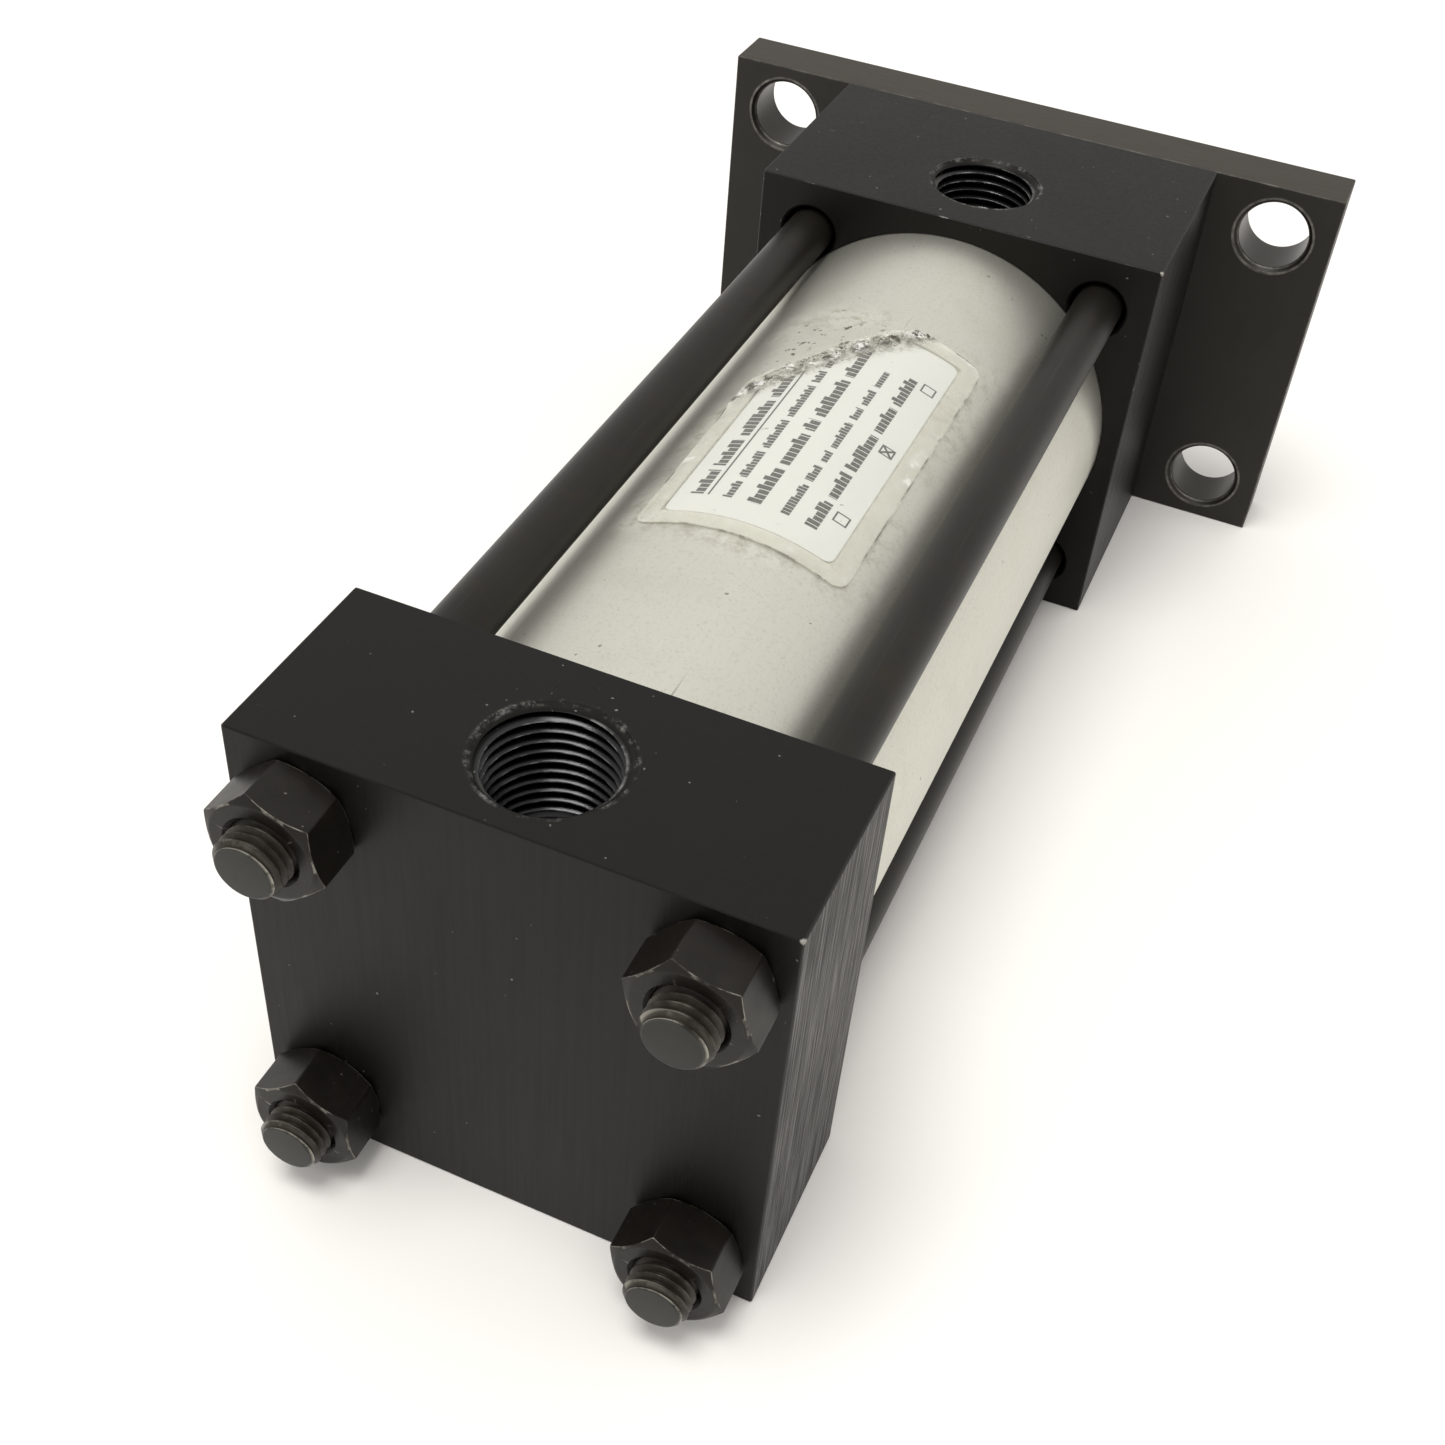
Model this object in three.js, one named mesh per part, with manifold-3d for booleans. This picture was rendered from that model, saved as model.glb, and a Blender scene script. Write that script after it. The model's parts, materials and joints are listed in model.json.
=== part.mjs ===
// Double-acting pneumatic tie-rod cylinder: 2 inch bore, 3.5 inch stroke, square aluminium cap and head, and a
// rectangular steel flange on the head. The sizes are those of the inch standard for interchangeable tie-rod
// cylinders. Millimetres, +Z up. The origin is the centre of the cap's rear face, on the rod's axis; the rod
// comes out along +Y and both ports face +Z. The rod is fully retracted.

import * as THREE from "three";
import { mergeVertices } from "three/addons/utils/BufferGeometryUtils.js";
import Module from "manifold-3d";

const wasm = await Module();
wasm.setup();

const INCH = 25.4;

// ---- Driving dimensions: the standard's sizes for this bore ----
const BORE = 2 * INCH;
const STROKE = 3.5 * INCH;
const SQUARE = 2.5 * INCH; // side of the cap, the head and the flange's height
const CAP_LENGTH = 1 * INCH;
const HEAD_LENGTH = 1.5 * INCH;
const HEAD_TO_CAP = 3.625 * INCH + STROKE; // from the cap's rear face to the head's front face
const FLANGE_THICKNESS = 0.375 * INCH;
const FLANGE_WIDTH = 4.125 * INCH;
const BOLT_SPACING_X = 3.375 * INCH;
const BOLT_SPACING_Z = 1.84 * INCH;
const BOLT_HOLE = (7 / 16) * INCH;
const TIE_ROD_SPACING = 1.84 * INCH;
const BARREL_WALL = 0.125 * INCH;
const PORT_FROM_CAP_REAR = 0.4375 * INCH;
const PORT_SPACING = 2.25 * INCH + STROKE;
const ROD_DIAMETER = 0.625 * INCH;
const ROD_SHOULDER_REACH = 0.625 * INCH; // flange face to the rod's shoulder
const ROD_THREAD_DIAMETER = (7 / 16) * INCH;
const ROD_THREAD_LENGTH = 0.75 * INCH;
const WRENCH_FLATS = 0.5 * INCH; // across the two flats behind the shoulder
const WRENCH_FLAT_LENGTH = 0.32 * INCH;
const PILOT_DIAMETER = 1.125 * INCH; // the bushing's nose
const PILOT_REACH = 0.25 * INCH;

// ---- Tie rods and their nuts, 5/16 inch thread ----
const TIE_ROD_THREAD = 7.9;
const TIE_ROD_SHANK = 7.21;
const TIE_ROD_HOLE = 8.5;
const TAPPED_HOLE = 8.0; // bore that stands for a 5/16 inch thread, in the nuts and the flange
const STUD_REACH = 10; // tie rod past the cap's rear face
const CAP_THREAD_LENGTH = 22; // threaded length of a tie rod at the cap, from its end
const NUT_FLATS = 0.5 * INCH;
const NUT_HEIGHT = (17 / 64) * INCH;
const NUT_TURNS = { upper_left: 41, upper_right: 48, lower_left: 35, lower_right: 46 }; // degrees
const STUD_CHAMFER = 0.7;

// ---- Seats, clearances and inner pieces ----
const GAP = 0.1; // between pieces that touch on a round face
const TUBE_SEAT_DEPTH = 3.2;
const TUBE_SEAL_THICKNESS = 0.8;
const CAVITY_DIAMETER = 22; // air space behind each port
const CAP_CAVITY_DEPTH = 19;
const REAR_LAND = 24; // side of the square in the middle of the cap's rear face
const BUSHING_REAR = 15; // head's front face back to the bushing's rear end
const BUSHING_COLLAR_DIAMETER = 38;
const BUSHING_COLLAR_THICKNESS = 5;
const GLAND_DIAMETER = 23; // rod seal and wiper pockets in the bushing
const ROD_SEAL_LENGTH = 6;
const WIPER_LENGTH = 5;
const ROD_CLEARANCE = 0.06; // radial, between the rod and what guides it
const PISTON_DIAMETER = BORE - 0.3;
const PISTON_LENGTH = HEAD_TO_CAP - HEAD_LENGTH - CAP_LENGTH - STROKE - 2 * GAP;
const SEAL_GROOVE_WIDTH = 5;
const SEAL_GROOVE_DEPTH = 4.5;
const WEAR_BAND_WIDTH = 9;
const WEAR_GROOVE_DEPTH = 1.7;
const SPIGOT_DIAMETER = 0.5 * INCH; // rod's threaded end, through the piston
const PISTON_NUT_FLATS = 0.75 * INCH;
const PISTON_NUT_HEIGHT = (5 / 16) * INCH;
const PISTON_NUT_POCKET = 24;

// ---- Label ----
const LABEL_LENGTH = 50;
const LABEL_REAR = 61; // cap's rear face to the label's rear edge
const LABEL_LEFT = -22; // degrees round the barrel from the top, towards +X
const LABEL_RIGHT = 23.6;
const LABEL_THICKNESS = 0.15;
const FILM_MARGIN = 3; // film past the label, on every side
const FILM_THICKNESS = 0.1;

// ---- Stations along Y ----
const CAP_FRONT = CAP_LENGTH;
const HEAD_FRONT = HEAD_TO_CAP;
const HEAD_REAR = HEAD_FRONT - HEAD_LENGTH;
const FLANGE_FRONT = HEAD_FRONT + FLANGE_THICKNESS;
const CAP_PORT = PORT_FROM_CAP_REAR;
const HEAD_PORT = CAP_PORT + PORT_SPACING;
const NOSE_END = FLANGE_FRONT + PILOT_REACH;
const ROD_SHOULDER = FLANGE_FRONT + ROD_SHOULDER_REACH;
const ROD_END = ROD_SHOULDER + ROD_THREAD_LENGTH;
const PISTON_REAR = CAP_FRONT + GAP;
const PISTON_FRONT = PISTON_REAR + PISTON_LENGTH;

const TOP = SQUARE / 2;
const BARREL_RADIUS = BORE / 2 + BARREL_WALL;
const LARGE_ROUND = 36; // segments of a circle round the main axis
const PORT_ROUND = 24; // segments of a port, and of the cavity behind it
const SMALL_ROUND = 16; // segments of a hole, a tie rod or an O-ring's turn

// ---- Solids ----

// A three.js geometry as a manifold-3d solid.
function solid(geometry) {
  const bare = new THREE.BufferGeometry();
  bare.setAttribute("position", geometry.getAttribute("position"));
  bare.setIndex(geometry.index);
  const merged = mergeVertices(bare, 1e-4);
  return new wasm.Manifold(
    new wasm.Mesh({
      numProp: 3,
      vertProperties: new Float32Array(merged.attributes.position.array),
      triVerts: new Uint32Array(merged.index.array),
    }),
  );
}

// A solid back as a three.js geometry.
function geometryOf(made) {
  const mesh = made.getMesh();
  const positions = new Float32Array(mesh.numVert * 3);
  for (let i = 0; i < mesh.numVert; i++) {
    positions.set(mesh.vertProperties.subarray(i * mesh.numProp, i * mesh.numProp + 3), i * 3);
  }
  const geometry = new THREE.BufferGeometry();
  geometry.setAttribute("position", new THREE.BufferAttribute(positions, 3));
  geometry.setIndex(new THREE.BufferAttribute(mesh.triVerts, 1));
  geometry.computeVertexNormals();
  return geometry;
}

// Solid of revolution about Y. The profile is a closed outline of [radius, y] points, in either direction.
function turned(profile, segments = LARGE_ROUND) {
  const points = profile.map(([radius, y]) => new THREE.Vector2(radius, y));
  if (THREE.ShapeUtils.area(points) < 0) points.reverse();
  points.push(points[0].clone());
  return solid(new THREE.LatheGeometry(points, segments));
}

// Ring or, with no inner radius, plain cylinder about Y.
function ring(outer, inner, rear, front, segments = LARGE_ROUND) {
  return turned([[inner, rear], [outer, rear], [outer, front], [inner, front]], segments);
}

function cylinder(radius, rear, front, segments = LARGE_ROUND) {
  return ring(radius, 0, rear, front, segments);
}

function block(width, length, height, rear) {
  const geometry = new THREE.BoxGeometry(width, length, height);
  geometry.translate(0, rear + length / 2, 0);
  return solid(geometry);
}

// The same solid moved to each [x, z] place, joined.
function repeated(made, places) {
  return places.map(([x, z]) => made.translate([x, 0, z])).reduce((a, b) => a.add(b));
}

function corners(spacingX, spacingZ) {
  const x = spacingX / 2;
  const z = spacingZ / 2;
  return [[-x, z], [x, z], [-x, -z], [x, -z]];
}

const TIE_ROD_PLACES = corners(TIE_ROD_SPACING, TIE_ROD_SPACING);
const BOLT_PLACES = corners(BOLT_SPACING_X, BOLT_SPACING_Z);

// Cutter for a 3/8 inch tapered pipe port in the top face: countersink, tapered thread bore, then the drilled
// way down to the cavity.
function portCutter(y) {
  const mouth = 8.6;
  const bore = 7.75;
  const boreBottom = 7.25;
  const drill = 5;
  const threadDepth = 15.5;
  const bottom = CAVITY_DIAMETER / 3;
  const cutter = turned(
    [
      [0, bottom],
      [0, TOP + 1],
      [mouth + 1, TOP + 1],
      [bore, TOP - (mouth - bore)],
      [boreBottom, TOP - threadDepth],
      [drill, TOP - threadDepth - 1.5],
      [drill, bottom],
    ],
    PORT_ROUND,
  );
  return cutter.rotate([90, 0, 0]).translate([0, y, 0]);
}

// Groove in a block's inner face that takes the barrel's end and its seal.
function tubeSeat(from, to) {
  return ring(BARREL_RADIUS + GAP / 2, BORE / 2 - GAP, from, to);
}

// The middle of the rear face is a land of its own, which keeps that flat face clear of the nuts.
function makeCap() {
  const land = block(REAR_LAND, 1, REAR_LAND, 0);
  return block(SQUARE, CAP_LENGTH, SQUARE, 0)
    .subtract(land)
    .add(land)
    .subtract(repeated(cylinder(TIE_ROD_HOLE / 2, -1, CAP_FRONT + 1, SMALL_ROUND), TIE_ROD_PLACES))
    .subtract(tubeSeat(CAP_FRONT - TUBE_SEAT_DEPTH, CAP_FRONT + 1))
    .subtract(cylinder(CAVITY_DIAMETER / 2, CAP_FRONT - CAP_CAVITY_DEPTH, CAP_FRONT + 1, PORT_ROUND))
    .subtract(portCutter(CAP_PORT));
}

function makeHead() {
  const bushingBore = PILOT_DIAMETER / 2 + GAP;
  const collarBore = BUSHING_COLLAR_DIAMETER / 2 + GAP;
  const collarRear = HEAD_FRONT - BUSHING_COLLAR_THICKNESS;
  const middle = turned([
    [0, HEAD_REAR - 1],
    [CAVITY_DIAMETER / 2, HEAD_REAR - 1],
    [CAVITY_DIAMETER / 2, HEAD_FRONT - BUSHING_REAR],
    [bushingBore, HEAD_FRONT - BUSHING_REAR],
    [bushingBore, collarRear],
    [collarBore, collarRear],
    [collarBore, HEAD_FRONT + 1],
    [0, HEAD_FRONT + 1],
  ]);
  return block(SQUARE, HEAD_LENGTH, SQUARE, HEAD_REAR)
    .subtract(repeated(cylinder(TIE_ROD_HOLE / 2, HEAD_REAR - 1, HEAD_FRONT + 1, SMALL_ROUND), TIE_ROD_PLACES))
    .subtract(tubeSeat(HEAD_REAR - 1, HEAD_REAR + TUBE_SEAT_DEPTH))
    .subtract(middle)
    .subtract(portCutter(HEAD_PORT));
}

function makeBarrel() {
  const inset = TUBE_SEAT_DEPTH - TUBE_SEAL_THICKNESS;
  return ring(BARREL_RADIUS, BORE / 2, CAP_FRONT - inset, HEAD_REAR + inset);
}

function makeTubeSeal(rear) {
  return ring(BARREL_RADIUS, BORE / 2, rear, rear + TUBE_SEAL_THICKNESS);
}

function makeFlange() {
  const chamfer = 0.8;
  const boltCutter = turned(
    [
      [0, HEAD_FRONT - 1],
      [BOLT_HOLE / 2 + chamfer + 1, HEAD_FRONT - 1],
      [BOLT_HOLE / 2, HEAD_FRONT + chamfer],
      [BOLT_HOLE / 2, FLANGE_FRONT - chamfer],
      [BOLT_HOLE / 2 + chamfer + 1, FLANGE_FRONT + 1],
      [0, FLANGE_FRONT + 1],
    ],
    SMALL_ROUND,
  );
  return block(FLANGE_WIDTH, FLANGE_THICKNESS, SQUARE, HEAD_FRONT)
    .subtract(cylinder(PILOT_DIAMETER / 2 + GAP, HEAD_FRONT - 1, FLANGE_FRONT + 1))
    .subtract(repeated(boltCutter, BOLT_PLACES))
    .subtract(repeated(cylinder(TAPPED_HOLE / 2, HEAD_FRONT - 1, FLANGE_FRONT + 1, SMALL_ROUND), TIE_ROD_PLACES));
}

// A tie rod at [x, z]: rolled threads stand a little proud of the shank at both ends.
function makeTieRod([x, z]) {
  const thread = TIE_ROD_THREAD / 2;
  const shank = TIE_ROD_SHANK / 2;
  const rear = -STUD_REACH;
  const front = FLANGE_FRONT - 0.5;
  return turned(
    [
      [0, rear],
      [thread - STUD_CHAMFER, rear],
      [thread, rear + STUD_CHAMFER],
      [thread, rear + CAP_THREAD_LENGTH],
      [shank, rear + CAP_THREAD_LENGTH + 0.5],
      [shank, HEAD_FRONT - 6],
      [thread, HEAD_FRONT - 5.5],
      [thread, front - STUD_CHAMFER],
      [thread - STUD_CHAMFER, front],
      [0, front],
    ],
    SMALL_ROUND,
  ).translate([x, 0, z]);
}

// Hexagon nut about Y with both faces chamfered at 30 degrees, turned so that one corner is at the given
// angle from +X towards +Z.
function hexNut(flats, height, hole, rear, turn) {
  const corner = flats / Math.sqrt(3);
  const reach = (corner - flats / 2) * Math.tan(Math.PI / 6);
  const hexagon = solid(new THREE.CylinderGeometry(corner, corner, height, 6));
  const chamfers = turned(
    [
      [0, 0],
      [flats / 2 - 0.15, 0],
      [corner, reach + 0.09],
      [corner, height - reach - 0.09],
      [flats / 2 - 0.15, height],
      [0, height],
    ],
    24,
  );
  return hexagon
    .rotate([0, 90 - turn, 0])
    .translate([0, height / 2, 0])
    .intersect(chamfers)
    .subtract(cylinder(hole / 2, -1, height + 1, SMALL_ROUND))
    .translate([0, rear, 0]);
}

function makeTieRodNut([x, z], turn) {
  return hexNut(NUT_FLATS, NUT_HEIGHT, TAPPED_HOLE, -NUT_HEIGHT, turn).translate([x, 0, z]);
}

// ---- Gland: bushing, its O-ring, the rod seal and the wiper ----
const BUSHING_START = HEAD_FRONT - BUSHING_REAR;
const O_RING_SECTION = 2.6;
const O_RING_AT = BUSHING_START + 5;
const O_RING_DEPTH = 2.1;

function makeBushing() {
  const body = PILOT_DIAMETER / 2;
  const collar = BUSHING_COLLAR_DIAMETER / 2;
  const collarRear = HEAD_FRONT - BUSHING_COLLAR_THICKNESS;
  const guide = ROD_DIAMETER / 2 + ROD_CLEARANCE;
  const pocket = GLAND_DIAMETER / 2;
  const grooveHalf = O_RING_SECTION / 2 + 0.3;
  return turned([
    [pocket, BUSHING_START],
    [body, BUSHING_START],
    [body, O_RING_AT - grooveHalf],
    [body - O_RING_DEPTH, O_RING_AT - grooveHalf],
    [body - O_RING_DEPTH, O_RING_AT + grooveHalf],
    [body, O_RING_AT + grooveHalf],
    [body, collarRear],
    [collar, collarRear],
    [collar, HEAD_FRONT],
    [body, HEAD_FRONT],
    [body, NOSE_END - 0.8],
    [body - 0.8, NOSE_END],
    [pocket, NOSE_END],
    [pocket, NOSE_END - WIPER_LENGTH],
    [guide, NOSE_END - WIPER_LENGTH],
    [guide, BUSHING_START + ROD_SEAL_LENGTH],
    [pocket, BUSHING_START + ROD_SEAL_LENGTH],
  ]);
}

// Ring of round section, as a hexagon, about Y.
function oRing(inner, section, y) {
  const centre = inner + section / 2;
  const profile = [];
  for (let i = 0; i < 6; i++) {
    const angle = (i * Math.PI) / 3;
    profile.push([centre + (section / 2) * Math.cos(angle), y + (section / 2) * Math.sin(angle)]);
  }
  return turned(profile, LARGE_ROUND);
}

function makeBushingORing() {
  const floor = PILOT_DIAMETER / 2 - O_RING_DEPTH + GAP / 2;
  return oRing(floor, O_RING_DEPTH, O_RING_AT);
}

// Lip seal with its open side towards the pressure: a U section between two radii.
function lipSeal(inner, outer, closed, open) {
  const middle = (inner + outer) / 2;
  const wall = (outer - inner) * 0.2;
  const length = open - closed;
  return turned([
    [inner, closed],
    [outer, closed],
    [outer, open],
    [outer - wall, open],
    [middle, closed + length * 0.45],
    [inner + wall, open],
    [inner, open],
  ]);
}

function makeRodSeal() {
  const inner = ROD_DIAMETER / 2 + ROD_CLEARANCE;
  const outer = GLAND_DIAMETER / 2 - GAP;
  return lipSeal(inner, outer, BUSHING_START + ROD_SEAL_LENGTH - GAP, BUSHING_START + GAP);
}

function makeWiper() {
  const inner = ROD_DIAMETER / 2 + ROD_CLEARANCE;
  const outer = GLAND_DIAMETER / 2 - GAP;
  const rear = NOSE_END - WIPER_LENGTH + GAP;
  return turned([
    [inner + 0.8, rear],
    [outer, rear],
    [outer, NOSE_END - 0.6],
    [inner + 1.6, NOSE_END - 0.6],
    [inner, NOSE_END + 0.4],
    [inner, NOSE_END - 1.6],
  ]);
}

// ---- Piston and rod ----
const SEAL_OFFSET = 3; // piston's end face to its seal groove
const PISTON_MIDDLE = (PISTON_REAR + PISTON_FRONT) / 2;
const PISTON_O_RING_SECTION = 2;
const PISTON_O_RING_AT = PISTON_FRONT - 4;

function makePiston() {
  const outer = PISTON_DIAMETER / 2;
  const sealFloor = outer - SEAL_GROOVE_DEPTH;
  const wearFloor = outer - WEAR_GROOVE_DEPTH;
  const bore = SPIGOT_DIAMETER / 2 + GAP / 2;
  const rearSeal = PISTON_REAR + SEAL_OFFSET;
  const frontSeal = PISTON_FRONT - SEAL_OFFSET;
  const wearRear = PISTON_MIDDLE - WEAR_BAND_WIDTH / 2;
  const wearFront = PISTON_MIDDLE + WEAR_BAND_WIDTH / 2;
  const pocketFront = PISTON_REAR + PISTON_NUT_HEIGHT + 1;
  const ringGroove = bore + PISTON_O_RING_SECTION;
  const ringHalf = PISTON_O_RING_SECTION / 2 + GAP;
  return turned([
    [PISTON_NUT_POCKET / 2, PISTON_REAR],
    [outer - 0.5, PISTON_REAR],
    [outer, PISTON_REAR + 0.5],
    [outer, rearSeal],
    [sealFloor, rearSeal],
    [sealFloor, rearSeal + SEAL_GROOVE_WIDTH],
    [outer, rearSeal + SEAL_GROOVE_WIDTH],
    [outer, wearRear],
    [wearFloor, wearRear],
    [wearFloor, wearFront],
    [outer, wearFront],
    [outer, frontSeal - SEAL_GROOVE_WIDTH],
    [sealFloor, frontSeal - SEAL_GROOVE_WIDTH],
    [sealFloor, frontSeal],
    [outer, frontSeal],
    [outer, PISTON_FRONT - 0.5],
    [outer - 0.5, PISTON_FRONT],
    [bore, PISTON_FRONT],
    [bore, PISTON_O_RING_AT + ringHalf],
    [ringGroove, PISTON_O_RING_AT + ringHalf],
    [ringGroove, PISTON_O_RING_AT - ringHalf],
    [bore, PISTON_O_RING_AT - ringHalf],
    [bore, pocketFront],
    [PISTON_NUT_POCKET / 2, pocketFront],
  ]);
}

function makePistonORing() {
  return oRing(SPIGOT_DIAMETER / 2 + GAP / 2, PISTON_O_RING_SECTION - GAP / 2, PISTON_O_RING_AT);
}

// A piston seal in the groove between two stations, with its lip towards `open`.
function makePistonSeal(closed, open) {
  const side = Math.sign(open - closed) * GAP;
  const floor = PISTON_DIAMETER / 2 - SEAL_GROOVE_DEPTH;
  return lipSeal(floor + 1.5 * GAP, BORE / 2 - GAP / 2, closed + side, open - side);
}

function makeWearBand() {
  const floor = PISTON_DIAMETER / 2 - WEAR_GROOVE_DEPTH;
  const half = WEAR_BAND_WIDTH / 2 - GAP;
  return ring(BORE / 2 - GAP / 2, floor + 1.5 * GAP, PISTON_MIDDLE - half, PISTON_MIDDLE + half);
}

function makePistonRod() {
  const radius = ROD_DIAMETER / 2;
  const thread = ROD_THREAD_DIAMETER / 2;
  const spigot = SPIGOT_DIAMETER / 2;
  const rod = turned(
    [
      [0, PISTON_REAR + 0.5],
      [spigot - 0.8, PISTON_REAR + 0.5],
      [spigot, PISTON_REAR + 1.3],
      [spigot, PISTON_FRONT],
      [radius, PISTON_FRONT],
      [radius, ROD_SHOULDER],
      [thread, ROD_SHOULDER],
      [thread, ROD_END - 1],
      [thread - 1, ROD_END],
      [0, ROD_END],
    ],
  );
  const flat = block(ROD_DIAMETER, WRENCH_FLAT_LENGTH + 1, ROD_DIAMETER, ROD_SHOULDER - WRENCH_FLAT_LENGTH);
  const away = WRENCH_FLATS / 2 + ROD_DIAMETER / 2;
  return rod
    .subtract(flat.translate([away, 0, 0]))
    .subtract(flat.translate([-away, 0, 0]));
}

function makePistonNut() {
  return hexNut(PISTON_NUT_FLATS, PISTON_NUT_HEIGHT, SPIGOT_DIAMETER + 3 * GAP, PISTON_REAR + 1 - GAP / 2, 30);
}

// ---- Label and the clear film over it ----

// A thin curved plate on the barrel, between two angles from the top and two stations.
function plateOnBarrel(inner, thickness, from, to, rear, front) {
  const start = THREE.MathUtils.degToRad(90 - to);
  const end = THREE.MathUtils.degToRad(90 - from);
  const shape = new THREE.Shape();
  shape.absarc(0, 0, inner + thickness, start, end, false);
  shape.absarc(0, 0, inner, end, start, true);
  shape.closePath();
  const plate = new THREE.ExtrudeGeometry(shape, {
    depth: front - rear,
    bevelEnabled: false,
    curveSegments: 16,
  });
  return solid(plate).rotate([90, 0, 0]).translate([0, front, 0]);
}

function makeLabel() {
  const inner = BARREL_RADIUS + 0.02;
  return plateOnBarrel(inner, LABEL_THICKNESS, LABEL_LEFT, LABEL_RIGHT, LABEL_REAR, LABEL_REAR + LABEL_LENGTH);
}

function makeFilm() {
  const inner = BARREL_RADIUS + LABEL_THICKNESS + 0.06;
  const margin = THREE.MathUtils.radToDeg(FILM_MARGIN / BARREL_RADIUS);
  return plateOnBarrel(
    inner,
    FILM_THICKNESS,
    LABEL_LEFT - margin,
    LABEL_RIGHT + margin,
    LABEL_REAR - FILM_MARGIN,
    LABEL_REAR + LABEL_LENGTH + FILM_MARGIN,
  );
}

// ---- Materials ----
function material(color, roughness, metalness) {
  return new THREE.MeshStandardMaterial({ color, roughness, metalness });
}

const BLACK_ANODISED = material(0x1b191a, 0.5, 0.3);
const CLEAR_ANODISED = material(0xb9b8b0, 0.38, 0.75);
const BLACK_OXIDE = material(0x26231e, 0.48, 0.6);
const BLACK_ROD = material(0x232322, 0.45, 0.6);
const CHROME = material(0xd0d2d4, 0.12, 1.0);
const BRONZE = material(0xa8834a, 0.35, 0.9);
const RUBBER = material(0x101010, 0.7, 0.0);
const BARE_ALUMINIUM = material(0xbfc0c2, 0.35, 0.9);
const ACETAL = material(0xe7e4da, 0.5, 0.0);
const PLATED_STEEL = material(0x9a9b9c, 0.35, 0.9);
const LABEL_WHITE = material(0xf2f2ee, 0.45, 0.0);
const CLEAR_FILM = material(0xd8d5c6, 0.2, 0.0);

// ---- Assembly ----
const assembly = new THREE.Group();

function place(name, made, look) {
  const mesh = new THREE.Mesh(geometryOf(made), look);
  mesh.name = name;
  assembly.add(mesh);
}

place("cap", makeCap(), BLACK_ANODISED);
place("head", makeHead(), BLACK_ANODISED);
place("barrel", makeBarrel(), CLEAR_ANODISED);
place("front_flange", makeFlange(), BLACK_OXIDE);
place("cap_tube_seal", makeTubeSeal(CAP_FRONT - TUBE_SEAT_DEPTH), RUBBER);
place("head_tube_seal", makeTubeSeal(HEAD_REAR + TUBE_SEAT_DEPTH - TUBE_SEAL_THICKNESS), RUBBER);

Object.entries(NUT_TURNS).forEach(([corner, turn], i) => {
  place("tie_rod_" + corner, makeTieRod(TIE_ROD_PLACES[i]), BLACK_ROD);
  place("tie_rod_nut_" + corner, makeTieRodNut(TIE_ROD_PLACES[i], turn), BLACK_OXIDE);
});

place("rod_bushing", makeBushing(), BRONZE);
place("bushing_o_ring", makeBushingORing(), RUBBER);
place("rod_seal", makeRodSeal(), RUBBER);
place("rod_wiper", makeWiper(), RUBBER);

place("piston_rod", makePistonRod(), CHROME);
place("piston", makePiston(), BARE_ALUMINIUM);
place("piston_nut", makePistonNut(), PLATED_STEEL);
place("piston_o_ring", makePistonORing(), RUBBER);
place(
  "piston_seal_rear",
  makePistonSeal(PISTON_REAR + SEAL_OFFSET + SEAL_GROOVE_WIDTH, PISTON_REAR + SEAL_OFFSET),
  RUBBER,
);
place(
  "piston_seal_front",
  makePistonSeal(PISTON_FRONT - SEAL_OFFSET - SEAL_GROOVE_WIDTH, PISTON_FRONT - SEAL_OFFSET),
  RUBBER,
);
place("wear_band", makeWearBand(), ACETAL);

place("label", makeLabel(), LABEL_WHITE);
place("label_film", makeFilm(), CLEAR_FILM);

export default assembly;
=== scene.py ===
"""Looks of a pneumatic tie-rod cylinder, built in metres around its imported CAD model.

+Y runs along the rod, from the blind cap to the rod's end, and +Z is up, out of both ports. Sizes come from
the CAD nodes' boxes. Small details that the CAD leaves plain, such as threads, fillets and wear, are named
below.
"""

import json
import math
import random

import bmesh
import bpy
from mathutils import Matrix, Vector, noise


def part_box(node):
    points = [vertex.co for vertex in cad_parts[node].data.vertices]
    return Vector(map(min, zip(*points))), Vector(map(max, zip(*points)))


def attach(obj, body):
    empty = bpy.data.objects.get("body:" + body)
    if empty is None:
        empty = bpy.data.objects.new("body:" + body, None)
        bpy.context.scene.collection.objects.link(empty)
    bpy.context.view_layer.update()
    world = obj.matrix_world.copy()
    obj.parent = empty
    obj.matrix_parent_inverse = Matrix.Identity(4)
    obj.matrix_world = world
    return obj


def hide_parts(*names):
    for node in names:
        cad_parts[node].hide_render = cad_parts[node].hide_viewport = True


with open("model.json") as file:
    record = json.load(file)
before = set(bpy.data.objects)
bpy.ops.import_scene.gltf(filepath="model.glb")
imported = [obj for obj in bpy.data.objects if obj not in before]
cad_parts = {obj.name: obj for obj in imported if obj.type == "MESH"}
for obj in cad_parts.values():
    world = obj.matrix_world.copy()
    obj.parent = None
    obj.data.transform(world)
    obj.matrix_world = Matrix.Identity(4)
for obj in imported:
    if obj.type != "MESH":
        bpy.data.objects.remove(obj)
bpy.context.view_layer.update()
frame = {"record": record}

MM = 0.001
INCH = 0.0254

# ---- Stations and sizes, from the frame ----
CAP_LOW, CAP_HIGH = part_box("cap")
HEAD_LOW, HEAD_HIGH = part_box("head")
FLANGE_LOW, FLANGE_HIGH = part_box("front_flange")
BARREL_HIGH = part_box("barrel")[1]
BUSHING_LOW, BUSHING_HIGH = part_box("rod_bushing")
LABEL_LOW, LABEL_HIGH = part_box("label")
FILM_LOW, FILM_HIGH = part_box("label_film")

TOP = CAP_HIGH.z
FLOOR = CAP_LOW.z
BARREL_RADIUS = BARREL_HIGH.x
CORNERS = ("upper_left", "upper_right", "lower_left", "lower_right")


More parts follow.
